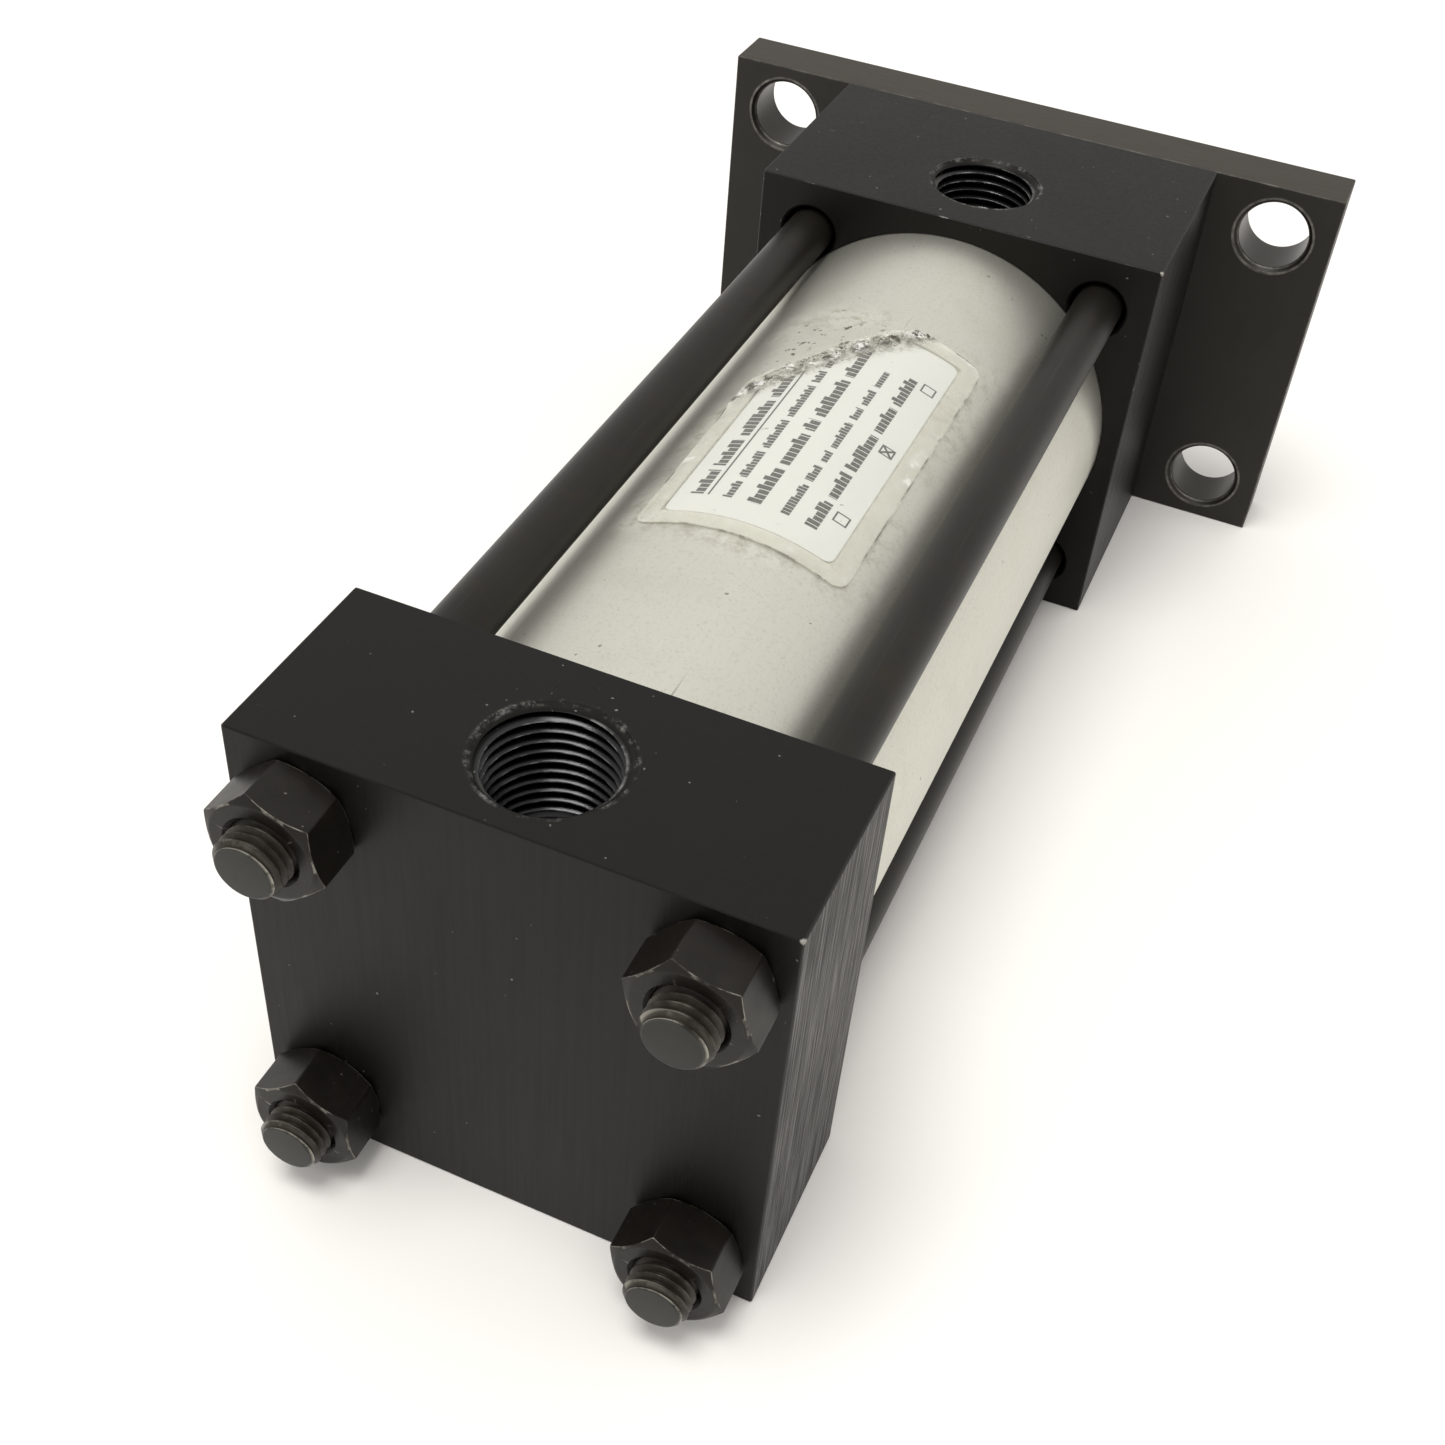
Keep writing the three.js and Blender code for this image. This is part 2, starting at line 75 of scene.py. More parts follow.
def middle(node):
    """Centre of a CAD node's box."""
    low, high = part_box(node)
    return (low + high) / 2


# ---- Sizes inside the cylinder, as the CAD has them ----
BORE_RADIUS = BARREL_RADIUS - INCH / 8
BOLT_X = 3.375 / 2 * INCH
BOLT_Z = 1.84 / 2 * INCH
BOLT_RADIUS = 7 / 32 * INCH
TAPPED_RADIUS = 4 * MM
TIE_ROD_HOLE = 8.7 * MM
NUT_FLATS = INCH / 2
NUT_TURNS = {"upper_left": 41, "upper_right": 48, "lower_left": 35, "lower_right": 46}  # degrees
CAVITY_RADIUS = 11 * MM
CAP_CAVITY_DEPTH = 19 * MM
PILOT_RADIUS = 9 / 16 * INCH
COLLAR_THICKNESS = 5 * MM
GLAND_RADIUS = 11.5 * MM
SEAL_POCKET_DEPTH = 6 * MM
WIPER_POCKET_DEPTH = 5 * MM
O_RING_DEPTH = 2.1 * MM
ROD_RADIUS = 5 / 16 * INCH
GUIDE_RADIUS = ROD_RADIUS + 0.06 * MM
SPIGOT_RADIUS = INCH / 4
ROD_THREAD_RADIUS = 7 / 32 * INCH
WRENCH_FLATS = INCH / 2
FLAT_LENGTH = 0.32 * INCH
PISTON_NUT_FLATS = 0.75 * INCH
SEAL_OFFSET = 3 * MM
SEAL_GROOVE_WIDTH = 5 * MM
SEAL_GROOVE_DEPTH = 4.5 * MM
WEAR_GROOVE_WIDTH = 9 * MM
WEAR_GROOVE_DEPTH = 1.7 * MM

# ---- Details that only this model has ----
BLOCK_EDGE = 0.35 * MM  # rounding of the cap's and head's edges
FLANGE_EDGE = 0.3 * MM
PORT_PITCH = INCH / 18
PORT_TAPER = 1 / 32  # change of radius along the axis
PORT_MOUTH_RADIUS = 0.675 / 2 * INCH
PORT_PITCH_RADIUS = 0.627 / 2 * INCH
PORT_THREAD_DEPTH = 15.5 * MM
PORT_DRILL_RADIUS = 5 * MM
STUD_PITCH = INCH / 24
ROD_PITCH = INCH / 20
SPIGOT_PITCH = INCH / 20
FINE_ROUND = 192  # segments of a large circle
HOLE_ROUND = 96  # segments of a hole or a port

# ---- Label and film, as (girth from the barrel's top line, y) ----


def girth_of(x, radius):
    return math.asin(x / radius) * BARREL_RADIUS


LABEL_LEFT = girth_of(LABEL_LOW.x, LABEL_HIGH.z)
LABEL_RIGHT = girth_of(LABEL_HIGH.x, LABEL_HIGH.z)
FILM_LEFT = girth_of(FILM_LOW.x, FILM_HIGH.z)
FILM_RIGHT = girth_of(FILM_HIGH.x, FILM_HIGH.z)
LABEL_BASE = BARREL_RADIUS + 0.02 * MM
FILM_BASE = BARREL_RADIUS + 0.21 * MM
LABEL_MIDDLE = ((LABEL_LEFT + LABEL_RIGHT) / 2, (LABEL_LOW.y + LABEL_HIGH.y) / 2)
LABEL_HALF = ((LABEL_RIGHT - LABEL_LEFT) / 2, (LABEL_HIGH.y - LABEL_LOW.y) / 2)


def on_label(across, along):
    """(girth, y) of a point from shares of the label's width and length, 0 at its rear left corner."""
    return (
        LABEL_LEFT + across * (LABEL_RIGHT - LABEL_LEFT),
        LABEL_LOW.y + along * (LABEL_HIGH.y - LABEL_LOW.y),
    )


# The tear crosses one corner of the label. Its ends are simple fractions of the label's two sides.
TEAR_ACROSS = 3 / 5
TEAR_ALONG = 2 / 3
TEAR_RIGHT_END = Vector(on_label(TEAR_ACROSS, 1))
TEAR_LEFT_END = Vector(on_label(0, TEAR_ALONG))
TEAR_RUN = (TEAR_RIGHT_END - TEAR_LEFT_END).normalized()
TEAR_OUT = Vector((-TEAR_RUN.y, TEAR_RUN.x))  # points off the paper
CORNER_CHIP = 0.5 * MM
TEAR_SEED = {"paper": 0.37, "film": 5.61}
PRINT_ROWS = 5
PRINT_SEED = 11
PRINT_MARGIN = 0.08
WORD_GAP = 0.02
TICK_BOXES = 3


# =====================================================================================================
# Mesh tools
# =====================================================================================================


def link_mesh(name, mesh):
    piece = bpy.data.objects.new(name, mesh)
    bpy.context.scene.collection.objects.link(piece)
    return piece


def from_bmesh(name, bm):
    """An object from a bmesh, with its faces pointing out."""
    bmesh.ops.recalc_face_normals(bm, faces=bm.faces)
    mesh = bpy.data.meshes.new(name)
    bm.to_mesh(mesh)
    bm.free()
    return link_mesh(name, mesh)


def from_faces(name, points, faces):
    mesh = bpy.data.meshes.new(name)
    mesh.from_pydata(points, [], faces)
    bm = bmesh.new()
    bm.from_mesh(mesh)
    bpy.data.meshes.remove(mesh)
    return from_bmesh(name, bm)


def apply_modifiers(piece):
    graph = bpy.context.evaluated_depsgraph_get()
    mesh = bpy.data.meshes.new_from_object(piece.evaluated_get(graph), depsgraph=graph)
    piece.modifiers.clear()
    old = piece.data
    piece.data = mesh
    bpy.data.meshes.remove(old)


def combine(piece, tool, operation):
    """Cuts, joins or intersects a piece with a closed tool, which is then removed."""
    modifier = piece.modifiers.new("combine", "BOOLEAN")
    modifier.operation = operation
    modifier.solver = "MANIFOLD"
    modifier.object = tool
    apply_modifiers(piece)
    mesh = tool.data
    bpy.data.objects.remove(tool)
    bpy.data.meshes.remove(mesh)
    return piece


def place(piece, matrix):
    piece.data.transform(matrix)
    return piece


ALONG_Y = Matrix.Rotation(math.radians(-90), 4, "X")  # local +Z to +Y


def finish_shading(piece, sharp=32):
    """Smooth faces, sharp edges past an angle between faces, and normals led by the large faces."""
    bm = bmesh.new()
    bm.from_mesh(piece.data)
    limit = math.radians(sharp)
    for face in bm.faces:
        face.smooth = True
    for edge in bm.edges:
        edge.smooth = len(edge.link_faces) == 2 and edge.calc_face_angle(0) < limit
    bm.to_mesh(piece.data)
    bm.free()
    weighted = piece.modifiers.new("weighted normals", "WEIGHTED_NORMAL")
    weighted.keep_sharp = True
    return piece


def filleted(outline, steps=4):
    """Points of a closed outline with rounded corners. Each corner is (radius, z) or (radius, z, fillet)."""
    rounded = []
    count = len(outline)
    for i, corner in enumerate(outline):
        here = Vector(corner[:2])
        fillet = corner[2] if len(corner) > 2 else 0
        before = Vector(outline[i - 1][:2]) - here
        after = Vector(outline[(i + 1) % count][:2]) - here
        if fillet <= 0:
            rounded.append(tuple(here))
            continue
        half = before.angle(after) / 2
        reach = min(fillet / math.tan(half), before.length / 2, after.length / 2)
        start = here + before.normalized() * reach
        end = here + after.normalized() * reach
        for step in range(steps + 1):
            t = step / steps
            point = start * (1 - t) ** 2 + here * 2 * t * (1 - t) + end * t**2
            rounded.append(tuple(point))
    return rounded


def turned(name, outline, segments=FINE_ROUND):
    """Closed solid of revolution about local Z from a closed outline of (radius, z[, fillet]) corners."""
    profile = filleted(outline)
    points = []
    rings = []
    for radius, z in profile:
        if radius < 1e-7:
            rings.append([len(points)] * segments)
            points.append((0, 0, z))
        else:
            rings.append([len(points) + s for s in range(segments)])
            for s in range(segments):
                angle = 2 * math.pi * s / segments
                points.append((radius * math.cos(angle), radius * math.sin(angle), z))
    faces = []
    for i, ring in enumerate(rings):
        following = rings[(i + 1) % len(rings)]
        for s in range(segments):
            t = (s + 1) % segments
            corners = [ring[s], ring[t], following[t], following[s]]
            face = list(dict.fromkeys(corners))
            if len(face) > 2:
                faces.append(face)
    return from_faces(name, points, faces)


def turned_along_y(name, outline, x=0.0, z=0.0, segments=FINE_ROUND):
    """Solid of revolution about a line along Y, from (radius, y[, fillet]) corners."""
    piece = turned(name, outline, segments)
    return place(piece, Matrix.Translation((x, 0, z)) @ ALONG_Y)


THREAD_FORM = (  # one pitch of a 60 degree thread: share of the pitch, and height from -1 (root) to 1 (crest)
    (0.00, -1.0), (0.04, -0.97), (0.08, -0.86), (0.42, 0.86), (0.46, 0.97),
    (0.50, 1.0), (0.54, 0.97), (0.58, 0.86), (0.92, -0.86), (0.96, -0.97),
)


def helix(name, pitch, depth, radius_at, low, high, segments=HOLE_ROUND):
    """Closed right-hand screw about local Z. radius_at(z) is its pitch radius, and depth is its thread's."""
    per_turn = len(THREAD_FORM)
    turns = math.ceil((high - low) / pitch) + 1
    rows = turns * per_turn
    points = []
    for row in range(rows + 1):
        share, height = THREAD_FORM[row % per_turn]
        for s in range(segments):
            z = low - pitch + (row // per_turn + share + s / segments) * pitch
            radius = radius_at(z) + height * depth / 2
            angle = 2 * math.pi * s / segments
            points.append((radius * math.cos(angle), radius * math.sin(angle), z))

    def vertex(row, s):
        return row * segments + s if s < segments else (row + per_turn) * segments

    faces = []
    for row in range(rows):
        for s in range(segments):
            if s == segments - 1 and row + per_turn + 1 > rows:
                continue
            faces.append([vertex(row, s), vertex(row, s + 1), vertex(row + 1, s + 1), vertex(row + 1, s)])
    start = [vertex(0, s) for s in range(segments + 1)]
    start += [vertex(row, 0) for row in range(per_turn - 1, 0, -1)]
    end = [vertex(rows, s) for s in range(segments)]
    end += [vertex(row, segments - 1) for row in range(rows - 1, rows - per_turn - 1, -1)]
    for loop in (start, end):
        centre = len(points)
        points.append((0, 0, sum(points[v][2] for v in loop) / len(loop)))
        for i, v in enumerate(loop):
            faces.append([v, loop[(i + 1) % len(loop)], centre])
    return from_faces(name, points, faces)


def rounded_block(name, low, high, edge):
    """Box between two corners with small rounded edges."""
    bm = bmesh.new()
    bmesh.ops.create_cube(bm, size=1)
    size = high - low
    bmesh.ops.scale(bm, vec=size, verts=bm.verts)
    bmesh.ops.translate(bm, vec=(low + high) / 2, verts=bm.verts)
    bmesh.ops.bevel(bm, geom=list(bm.edges), offset=edge, segments=3, profile=0.6, affect="EDGES")
    return from_bmesh(name, bm)


def hex_outline(flats, corner_radius, per_flat=14, per_corner=5):
    """Points of a hexagon with rounded corners. Its first corner is on +X."""
    outline = []
    reach = flats / math.sqrt(3)
    inset = corner_radius / math.cos(math.radians(30))
    for side in range(6):
        centre = Vector((reach - inset, 0))
        turn = Matrix.Rotation(math.radians(60 * side), 2)
        for step in range(per_corner):
            angle = math.radians(-30 + 60 * step / (per_corner - 1))
            point = centre + corner_radius * Vector((math.cos(angle), math.sin(angle)))
            outline.append(turn @ point)
        start = outline[-1]
        end = turn @ Matrix.Rotation(math.radians(60), 2) @ (
            centre + corner_radius * Vector((math.cos(math.radians(-30)), math.sin(math.radians(-30))))
        )
        for step in range(1, per_flat):
            outline.append(start.lerp(end, step / per_flat))
    return outline


def hex_nut(name, flats, height, bore, turn):
    """Hexagon nut standing on local Z = 0, both faces chamfered at 30 degrees, one corner at turn degrees."""
    outline = hex_outline(flats, 0.35 * MM)
    rim = flats / 2 - 0.25 * MM
    slope = math.tan(math.radians(30))
    sink = 0.55 * MM
    soft = 0.16 * MM
    inner = bore / 2
    half = [  # (radius as a function of the hexagon's own radius there, height below the face)
        (lambda r: inner, sink),
        (lambda r: inner + sink, 0),
        (lambda r: rim - soft, 0),
        (lambda r: rim, 0.2 * soft * slope),
        (lambda r: rim + soft, soft * slope),
        (lambda r: r - soft, None),
        (lambda r: r - 0.25 * soft, None),
        (lambda r: r, None),
    ]
    drops = (soft * 0.1, soft * 0.45, soft * 1.3)
    points = []
    rows = []
    for face_up in (True, False):
        for index, (radius_of, below) in enumerate(half if face_up else reversed(half)):
            row = []
            for point in outline:
                r = point.length
                radius = radius_of(r)
                if below is None:
                    place_in_edge = (index if face_up else len(half) - 1 - index) - 5
                    depth = max(r - rim, 0) * slope - soft * slope + drops[place_in_edge]
                    depth = max(depth, 0.02 * MM)
                else:
                    depth = below
                z = height - depth if face_up else depth
                row.append(len(points))
                direction = point / r
                points.append((direction.x * radius, direction.y * radius, z))
            rows.append(row)
    faces = []
    for i, row in enumerate(rows):
        following = rows[(i + 1) % len(rows)]
        for s in range(len(row)):
            t = (s + 1) % len(row)
            faces.append([row[s], row[t], following[t], following[s]])
    piece = from_faces(name, points, faces)
    return place(piece, Matrix.Rotation(math.radians(turn), 4, "Z"))


# =====================================================================================================
# Material tools
# =====================================================================================================


class Look:
    """Node tree of one material, with short calls for the nodes that are used here.

    shift moves the noise, so that copies of a piece differ.
    """

    def __init__(self, name, shift=(0, 0, 0), **settings):
        self.material = bpy.data.materials.new(name)
        self.material.use_nodes = True
        self.tree = self.material.node_tree
        self.shader = self.tree.nodes["Principled BSDF"]
        for socket, value in settings.items():
            self.shader.inputs[socket_name(socket)].default_value = value
        coordinates = self.add("ShaderNodeTexCoord")
        self.place = coordinates.outputs["Object"]
        self.x, self.y, self.z = self.split(self.place)
        self.normal_x = self.split(coordinates.outputs["Normal"])[0]
        self.noise_place = self.vector("ADD", self.place, shift).outputs[0]

    def add(self, kind, **settings):
        made = self.tree.nodes.new(kind)
        for name, value in settings.items():
            setattr(made, name, value)
        return made

    def link(self, source, socket):
        """Links a socket, or sets a plain value."""
        if isinstance(source, bpy.types.NodeSocket):
            self.tree.links.new(source, socket)
        else:
            socket.default_value = source

    def split(self, source):
        parts = self.add("ShaderNodeSeparateXYZ")
        self.link(source, parts.inputs[0])
        return parts.outputs[0], parts.outputs[1], parts.outputs[2]

    def vector(self, operation, first, second=(0, 0, 0)):
        made = self.add("ShaderNodeVectorMath", operation=operation)
        self.link(first, made.inputs[0])
        self.link(second, made.inputs[1])
        return made

    def math(self, operation, *values, clamp=False):
        made = self.add("ShaderNodeMath", operation=operation, use_clamp=clamp)
        for value, socket in zip(values, made.inputs):
            self.link(value, socket)
        return made.outputs[0]

    def times(self, *values):
        product = values[0]
        for value in values[1:]:
            product = self.math("MULTIPLY", product, value)
        return product

    def most(self, *values):
        largest = values[0]
        for value in values[1:]:
            largest = self.math("MAXIMUM", largest, value)
        return largest

    def offset(self, value, centre):
        """Distance of a number from another."""
        return self.math("ABSOLUTE", self.math("SUBTRACT", value, centre))

    def smooth(self, value, low, high):
        """0 below low, 1 above high, smooth between. With low over high it falls instead."""
        made = self.add("ShaderNodeMapRange", interpolation_type="SMOOTHSTEP", clamp=True)
        falling = low > high
        self.link(value, made.inputs["Value"])
        self.link(min(low, high), made.inputs["From Min"])
        self.link(max(low, high), made.inputs["From Max"])
        made.inputs["To Min"].default_value = 1.0 if falling else 0.0
        made.inputs["To Max"].default_value = 0.0 if falling else 1.0
        return made.outputs[0]

    def scaled(self, x, y, z):
        """Noise position times a scale for each axis."""
        return self.vector("MULTIPLY", self.noise_place, (x, y, z)).outputs[0]

    def noise(self, scale, detail=3.0, rough=0.55, vector=None, warp=0.0):
        """Noise from 0 to 1. scale is in repeats per metre, unless a vector is given."""
        made = self.add("ShaderNodeTexNoise")
        self.link(self.noise_place if vector is None else vector, made.inputs["Vector"])
        made.inputs["Scale"].default_value = scale
        made.inputs["Detail"].default_value = detail
        made.inputs["Roughness"].default_value = rough
        made.inputs["Distortion"].default_value = warp
        return made.outputs[0]

    def mix(self, share, first, second):
        made = self.add("ShaderNodeMix", data_type="RGBA")
        self.link(share, made.inputs[0])
        self.link(first, made.inputs[6])
        self.link(second, made.inputs[7])
        return made.outputs[2]

    def blend(self, share, first, second):
        """Number between two others."""
        made = self.add("ShaderNodeMix", data_type="FLOAT")
        self.link(share, made.inputs[0])
        self.link(first, made.inputs[2])
        self.link(second, made.inputs[3])
        return made.outputs[0]

    def bump(self, height, distance, strength=1.0, normal=None):
        made = self.add("ShaderNodeBump")
        made.inputs["Strength"].default_value = strength
        made.inputs["Distance"].default_value = distance
        self.link(height, made.inputs["Height"])
        if normal is not None:
            self.link(normal, made.inputs["Normal"])
        return made.outputs[0]

    def set(self, **values):
        for name, value in values.items():
            self.link(value, self.shader.inputs[socket_name(name)])

    def wear(self):
        """How sharply the surface bends outwards, as mark_wear stored it."""
        return self.add("ShaderNodeAttribute", attribute_name="wear").outputs["Fac"]

    def edge_distance(self, low, high):
        """Distance from the nearest edge of a box, for points on its faces."""
        reaches = []
        for value, start, end in zip((self.x, self.y, self.z), low, high):
            reaches.append(self.math("SUBTRACT", (end - start) / 2, self.offset(value, (start + end) / 2)))
        x, y, z = reaches
        nearer = self.math("MINIMUM", x, y)
        return self.most(nearer, self.math("MINIMUM", self.math("MAXIMUM", x, y), z))

    def away(self, point, axis):
        """Distance from a line along an axis through a point."""
        keep = [0 if letter == axis else 1 for letter in "XYZ"]
        flat = self.vector("MULTIPLY", self.place, keep).outputs[0]
        return self.vector("DISTANCE", flat, [k * p for k, p in zip(keep, point)]).outputs["Value"]

    def spot(self, centre, radius, softness=0.3, ragged=0.0):
        """1 inside a ball, 0 outside, with an uneven edge where ragged."""
        reach = self.vector("DISTANCE", self.place, centre).outputs["Value"]
        if ragged:
            uneven = self.math("SUBTRACT", self.noise(1.2 / radius, 3.0, 0.6), 0.5)
            reach = self.math("ADD", reach, self.math("MULTIPLY", uneven, ragged * radius))
        return self.smooth(reach, radius * (1 + softness), radius * (1 - softness))

    def on_sheet(self, centre, turn=0.0):
        """Position on the barrel's skin from a point of it, along a line turned from the girth."""
        flat = self.add("ShaderNodeCombineXYZ")
        self.link(self.girth(), flat.inputs[0])
        self.link(self.y, flat.inputs[1])
        mapping = self.add("ShaderNodeMapping", vector_type="TEXTURE")
        self.link(flat.outputs[0], mapping.inputs["Vector"])
        mapping.inputs["Location"].default_value = (*centre, 0)
        mapping.inputs["Rotation"].default_value = (0, 0, math.radians(turn))
        return mapping

    def girth(self):
        """Distance round the barrel from its top line, towards +X."""
        return self.math("MULTIPLY", self.math("ARCTAN2", self.x, self.z), BARREL_RADIUS)

    def beyond_tear(self):
        """Distance past the tear's line. It is negative on the paper."""
        across = self.times(self.math("SUBTRACT", self.girth(), TEAR_LEFT_END.x), TEAR_OUT.x)
        along = self.times(self.math("SUBTRACT", self.y, TEAR_LEFT_END.y), TEAR_OUT.y)
        return self.math("ADD", across, along)

    def bar(self, centre, half, turn=0.0, softness=0.04 * MM):
        """1 inside a rectangle on the barrel's skin. Centre and half sizes are (girth, y)."""
        beyond = self.bar_distance(centre, half, turn)
        return self.smooth(beyond, softness, -softness)

    def bar_distance(self, centre, half, turn=0.0):
        """Distance out of a rectangle on the barrel's skin, below 0 inside."""
        reach = self.vector("ABSOLUTE", self.on_sheet(centre, turn).outputs[0]).outputs[0]
        across, along, _ = self.split(self.vector("SUBTRACT", reach, (*half, 0)).outputs[0])
        return self.math("MAXIMUM", across, along)


def socket_name(word):
    return word.replace("_", " ").title().replace("Ior", "IOR")


def black_anodised(name, low, high, port_y, side_sheen_and_grain, chips=()):
    """Satin black anodised aluminium: grain and a painted sheen up the sides, a painted shade line and
    highlight along the edges, a glossy threaded port with painted shade in its roots, and chips at the edges.
    """
    look = Look(name, ior=1.45, specular_ior_level=0.24, specular_tint=(1.0, 0.985, 0.93, 1))
    grain = look.noise(1.0, 4.0, 0.65, look.scaled(5200, 5200, 170))
    streaks = look.noise(1.0, 3.0, 0.6, look.scaled(1300, 1300, 38))
    cloud = look.noise(55, 4.0)
    # Side faces, found by their normal: brushed grain plus a painted sheen that lightens them. The fifth
    # argument scales both for each block.
    side = look.times(look.smooth(look.offset(look.normal_x, 0), 0.6, 0.9), side_sheen_and_grain)
    tone = look.mix(cloud, (0.0022, 0.0020, 0.0019, 1), (0.0040, 0.0038, 0.0034, 1))
    lined = look.times(look.smooth(grain, 0.45, 0.75), look.blend(side, 0.25, 1.0))
    tone = look.mix(lined, tone, (0.012, 0.0115, 0.0105, 1))
    brushed = look.noise(1.0, 5.0, 0.7, look.scaled(2300, 2300, 60))
    # Painted sheen: lighter brushed streaks laid over the side faces.
    tone = look.mix(look.times(side, look.smooth(brushed, 0.42, 0.68)), tone, (0.026, 0.0245, 0.023, 1))

    edge = look.edge_distance(low, high)
    # Painted edge shade and highlight: a thin noisy band along the edges is painted near black, and lighter
    # where it runs beside the side faces at the block's full width.
    highlit_upright_edge = look.smooth(look.offset(look.x, 0), high.x - 0.5 * MM, high.x - 0.3 * MM)
    edge_band = look.times(look.smooth(edge, 0.4 * MM, 0.05 * MM), look.blend(look.noise(160, 3.0), 0.6, 1.0))
    tone = look.mix(edge_band, tone, look.mix(highlit_upright_edge, (0.0008, 0.0008, 0.0008, 1), (0.022, 0.021, 0.020, 1)))
    nicks = look.math("SUBTRACT", look.times(look.noise(520, 5.0, 0.7), 1.1 * MM), edge)
    chip = look.times(
        look.smooth(nicks, 0.46 * MM, 0.58 * MM), look.smooth(look.noise(95, 2.0), 0.60, 0.68), 0.7
    )
    specks = look.times(look.smooth(look.noise(1300, 1.0, 0.3), 0.79, 0.82), 0.45)
    chip = look.most(chip, specks, *[look.spot(centre, radius, 0.2, 1.2) for centre, radius in chips])

    away = look.away((0, port_y, 0), "Z")
    within = look.times(
        look.smooth(away, PORT_MOUTH_RADIUS + 0.12 * MM, PORT_MOUTH_RADIUS - 0.02 * MM),
        look.smooth(look.z, TOP - 0.5 * MM, TOP - 0.9 * MM),
        look.smooth(look.z, 4 * MM, 9 * MM),
    )
    # Painted shade in the port's thread: the roots, away from the axis, are painted dark and the crests
    # lighter.
    pitch_radius = look.math(
        "ADD", look.times(look.math("SUBTRACT", look.z, TOP), PORT_TAPER), PORT_PITCH_RADIUS
    )
    crest = look.smooth(look.math("SUBTRACT", away, pitch_radius), 0.05 * MM, -0.42 * MM)
    thread = look.mix(crest, (0.004, 0.004, 0.0042, 1), (0.040, 0.040, 0.042, 1))
    thread = look.mix(
        look.times(look.wear(), look.smooth(look.noise(500, 4.0), 0.45, 0.7)), thread, (0.36, 0.36, 0.36, 1)
    )
    rim = look.times(
        look.smooth(look.offset(away, PORT_MOUTH_RADIUS), 0.5 * MM, 0.1 * MM),
        look.smooth(look.z, TOP - 0.8 * MM, TOP - 0.3 * MM),
        look.smooth(look.noise(520, 5.0, 0.75), 0.48, 0.72),
    )
    tone = look.mix(within, tone, thread)
    tone = look.mix(rim, tone, (0.16, 0.155, 0.145, 1))
    tone = look.mix(chip, tone, (0.30, 0.29, 0.265, 1))

    rough = look.math("ADD", look.blend(grain, 0.35, 0.47), look.times(cloud, 0.12))
    rough = look.math("ADD", rough, look.times(look.math("SUBTRACT", streaks, 0.5), 0.16))
    rough = look.blend(side, rough, look.blend(look.smooth(brushed, 0.35, 0.65), 0.62, 0.34))
    look.set(
        base_color=tone,
        metallic=look.blend(chip, look.times(within, 0.7), 0.4),
        roughness=look.blend(chip, look.blend(within, rough, 0.17), 0.55),
        normal=look.bump(grain, 0.016 * MM, 0.5, look.bump(brushed, 0.03 * MM, 0.35)),
    )
    return look.material


def clear_anodised(name):
    """Sand-fine satin aluminium tube, with dirt round the label and a few scratches and specks."""
    look = Look(name, metallic=1.0)
    fine = look.noise(2600, 3.0, 0.6)
    sand = look.smooth(look.noise(2100, 4.0, 0.75), 0.50, 0.72)
    lines = look.noise(1.0, 4.0, 0.6, look.scaled(2600, 60, 2600))
    broad = look.noise(1.0, 3.0, 0.5, look.scaled(260, 18, 260))
    cloud = look.noise(70, 5.0, 0.6)
    tone = look.mix(lines, (0.61, 0.605, 0.54, 1), (0.66, 0.655, 0.585, 1))
    tone = look.mix(look.smooth(cloud, 0.5, 0.75), tone, (0.60, 0.59, 0.515, 1))
    tone = look.mix(look.times(sand, 0.6), tone, (0.47, 0.455, 0.39, 1))

    dusty = look.smooth(look.noise(420, 5.0, 0.7), 0.42, 0.7)
    from_label = look.bar_distance(LABEL_MIDDLE, LABEL_HALF)
    haze = look.times(look.smooth(from_label, 9 * MM, 3 * MM), look.smooth(look.noise(60, 3.0), 0.40, 0.60))
    tone = look.mix(look.times(haze, dusty, 0.55), tone, (0.24, 0.21, 0.155, 1))
    bared = look.times(look.smooth(look.beyond_tear(), 0, MM), look.smooth(from_label, 4 * MM, 0))
    crumbs = look.times(bared, look.smooth(look.noise(620, 3.0, 0.6), 0.60, 0.66))
    scratches = look.smooth(look.noise(1.0, 2.0, 0.5, look.scaled(900, 22, 900)), 0.76, 0.80)
    marks = look.most(crumbs, look.times(scratches, 0.6))
    specks = look.times(look.smooth(look.noise(700, 2.0, 0.4), 0.75, 0.78), 0.6)
    tone = look.mix(look.most(marks, specks), tone, (0.085, 0.07, 0.05, 1))

    rough = look.math("ADD", look.blend(fine, 0.35, 0.45), look.times(broad, 0.05))
    rough = look.blend(look.most(haze, marks), rough, 0.6)
    look.set(
        base_color=tone,
        roughness=rough,
        metallic=look.math("SUBTRACT", 0.86, marks, clamp=True),
        normal=look.bump(lines, 0.008 * MM, 0.3, look.bump(fine, 0.012 * MM, 0.5)),
    )
    return look.material


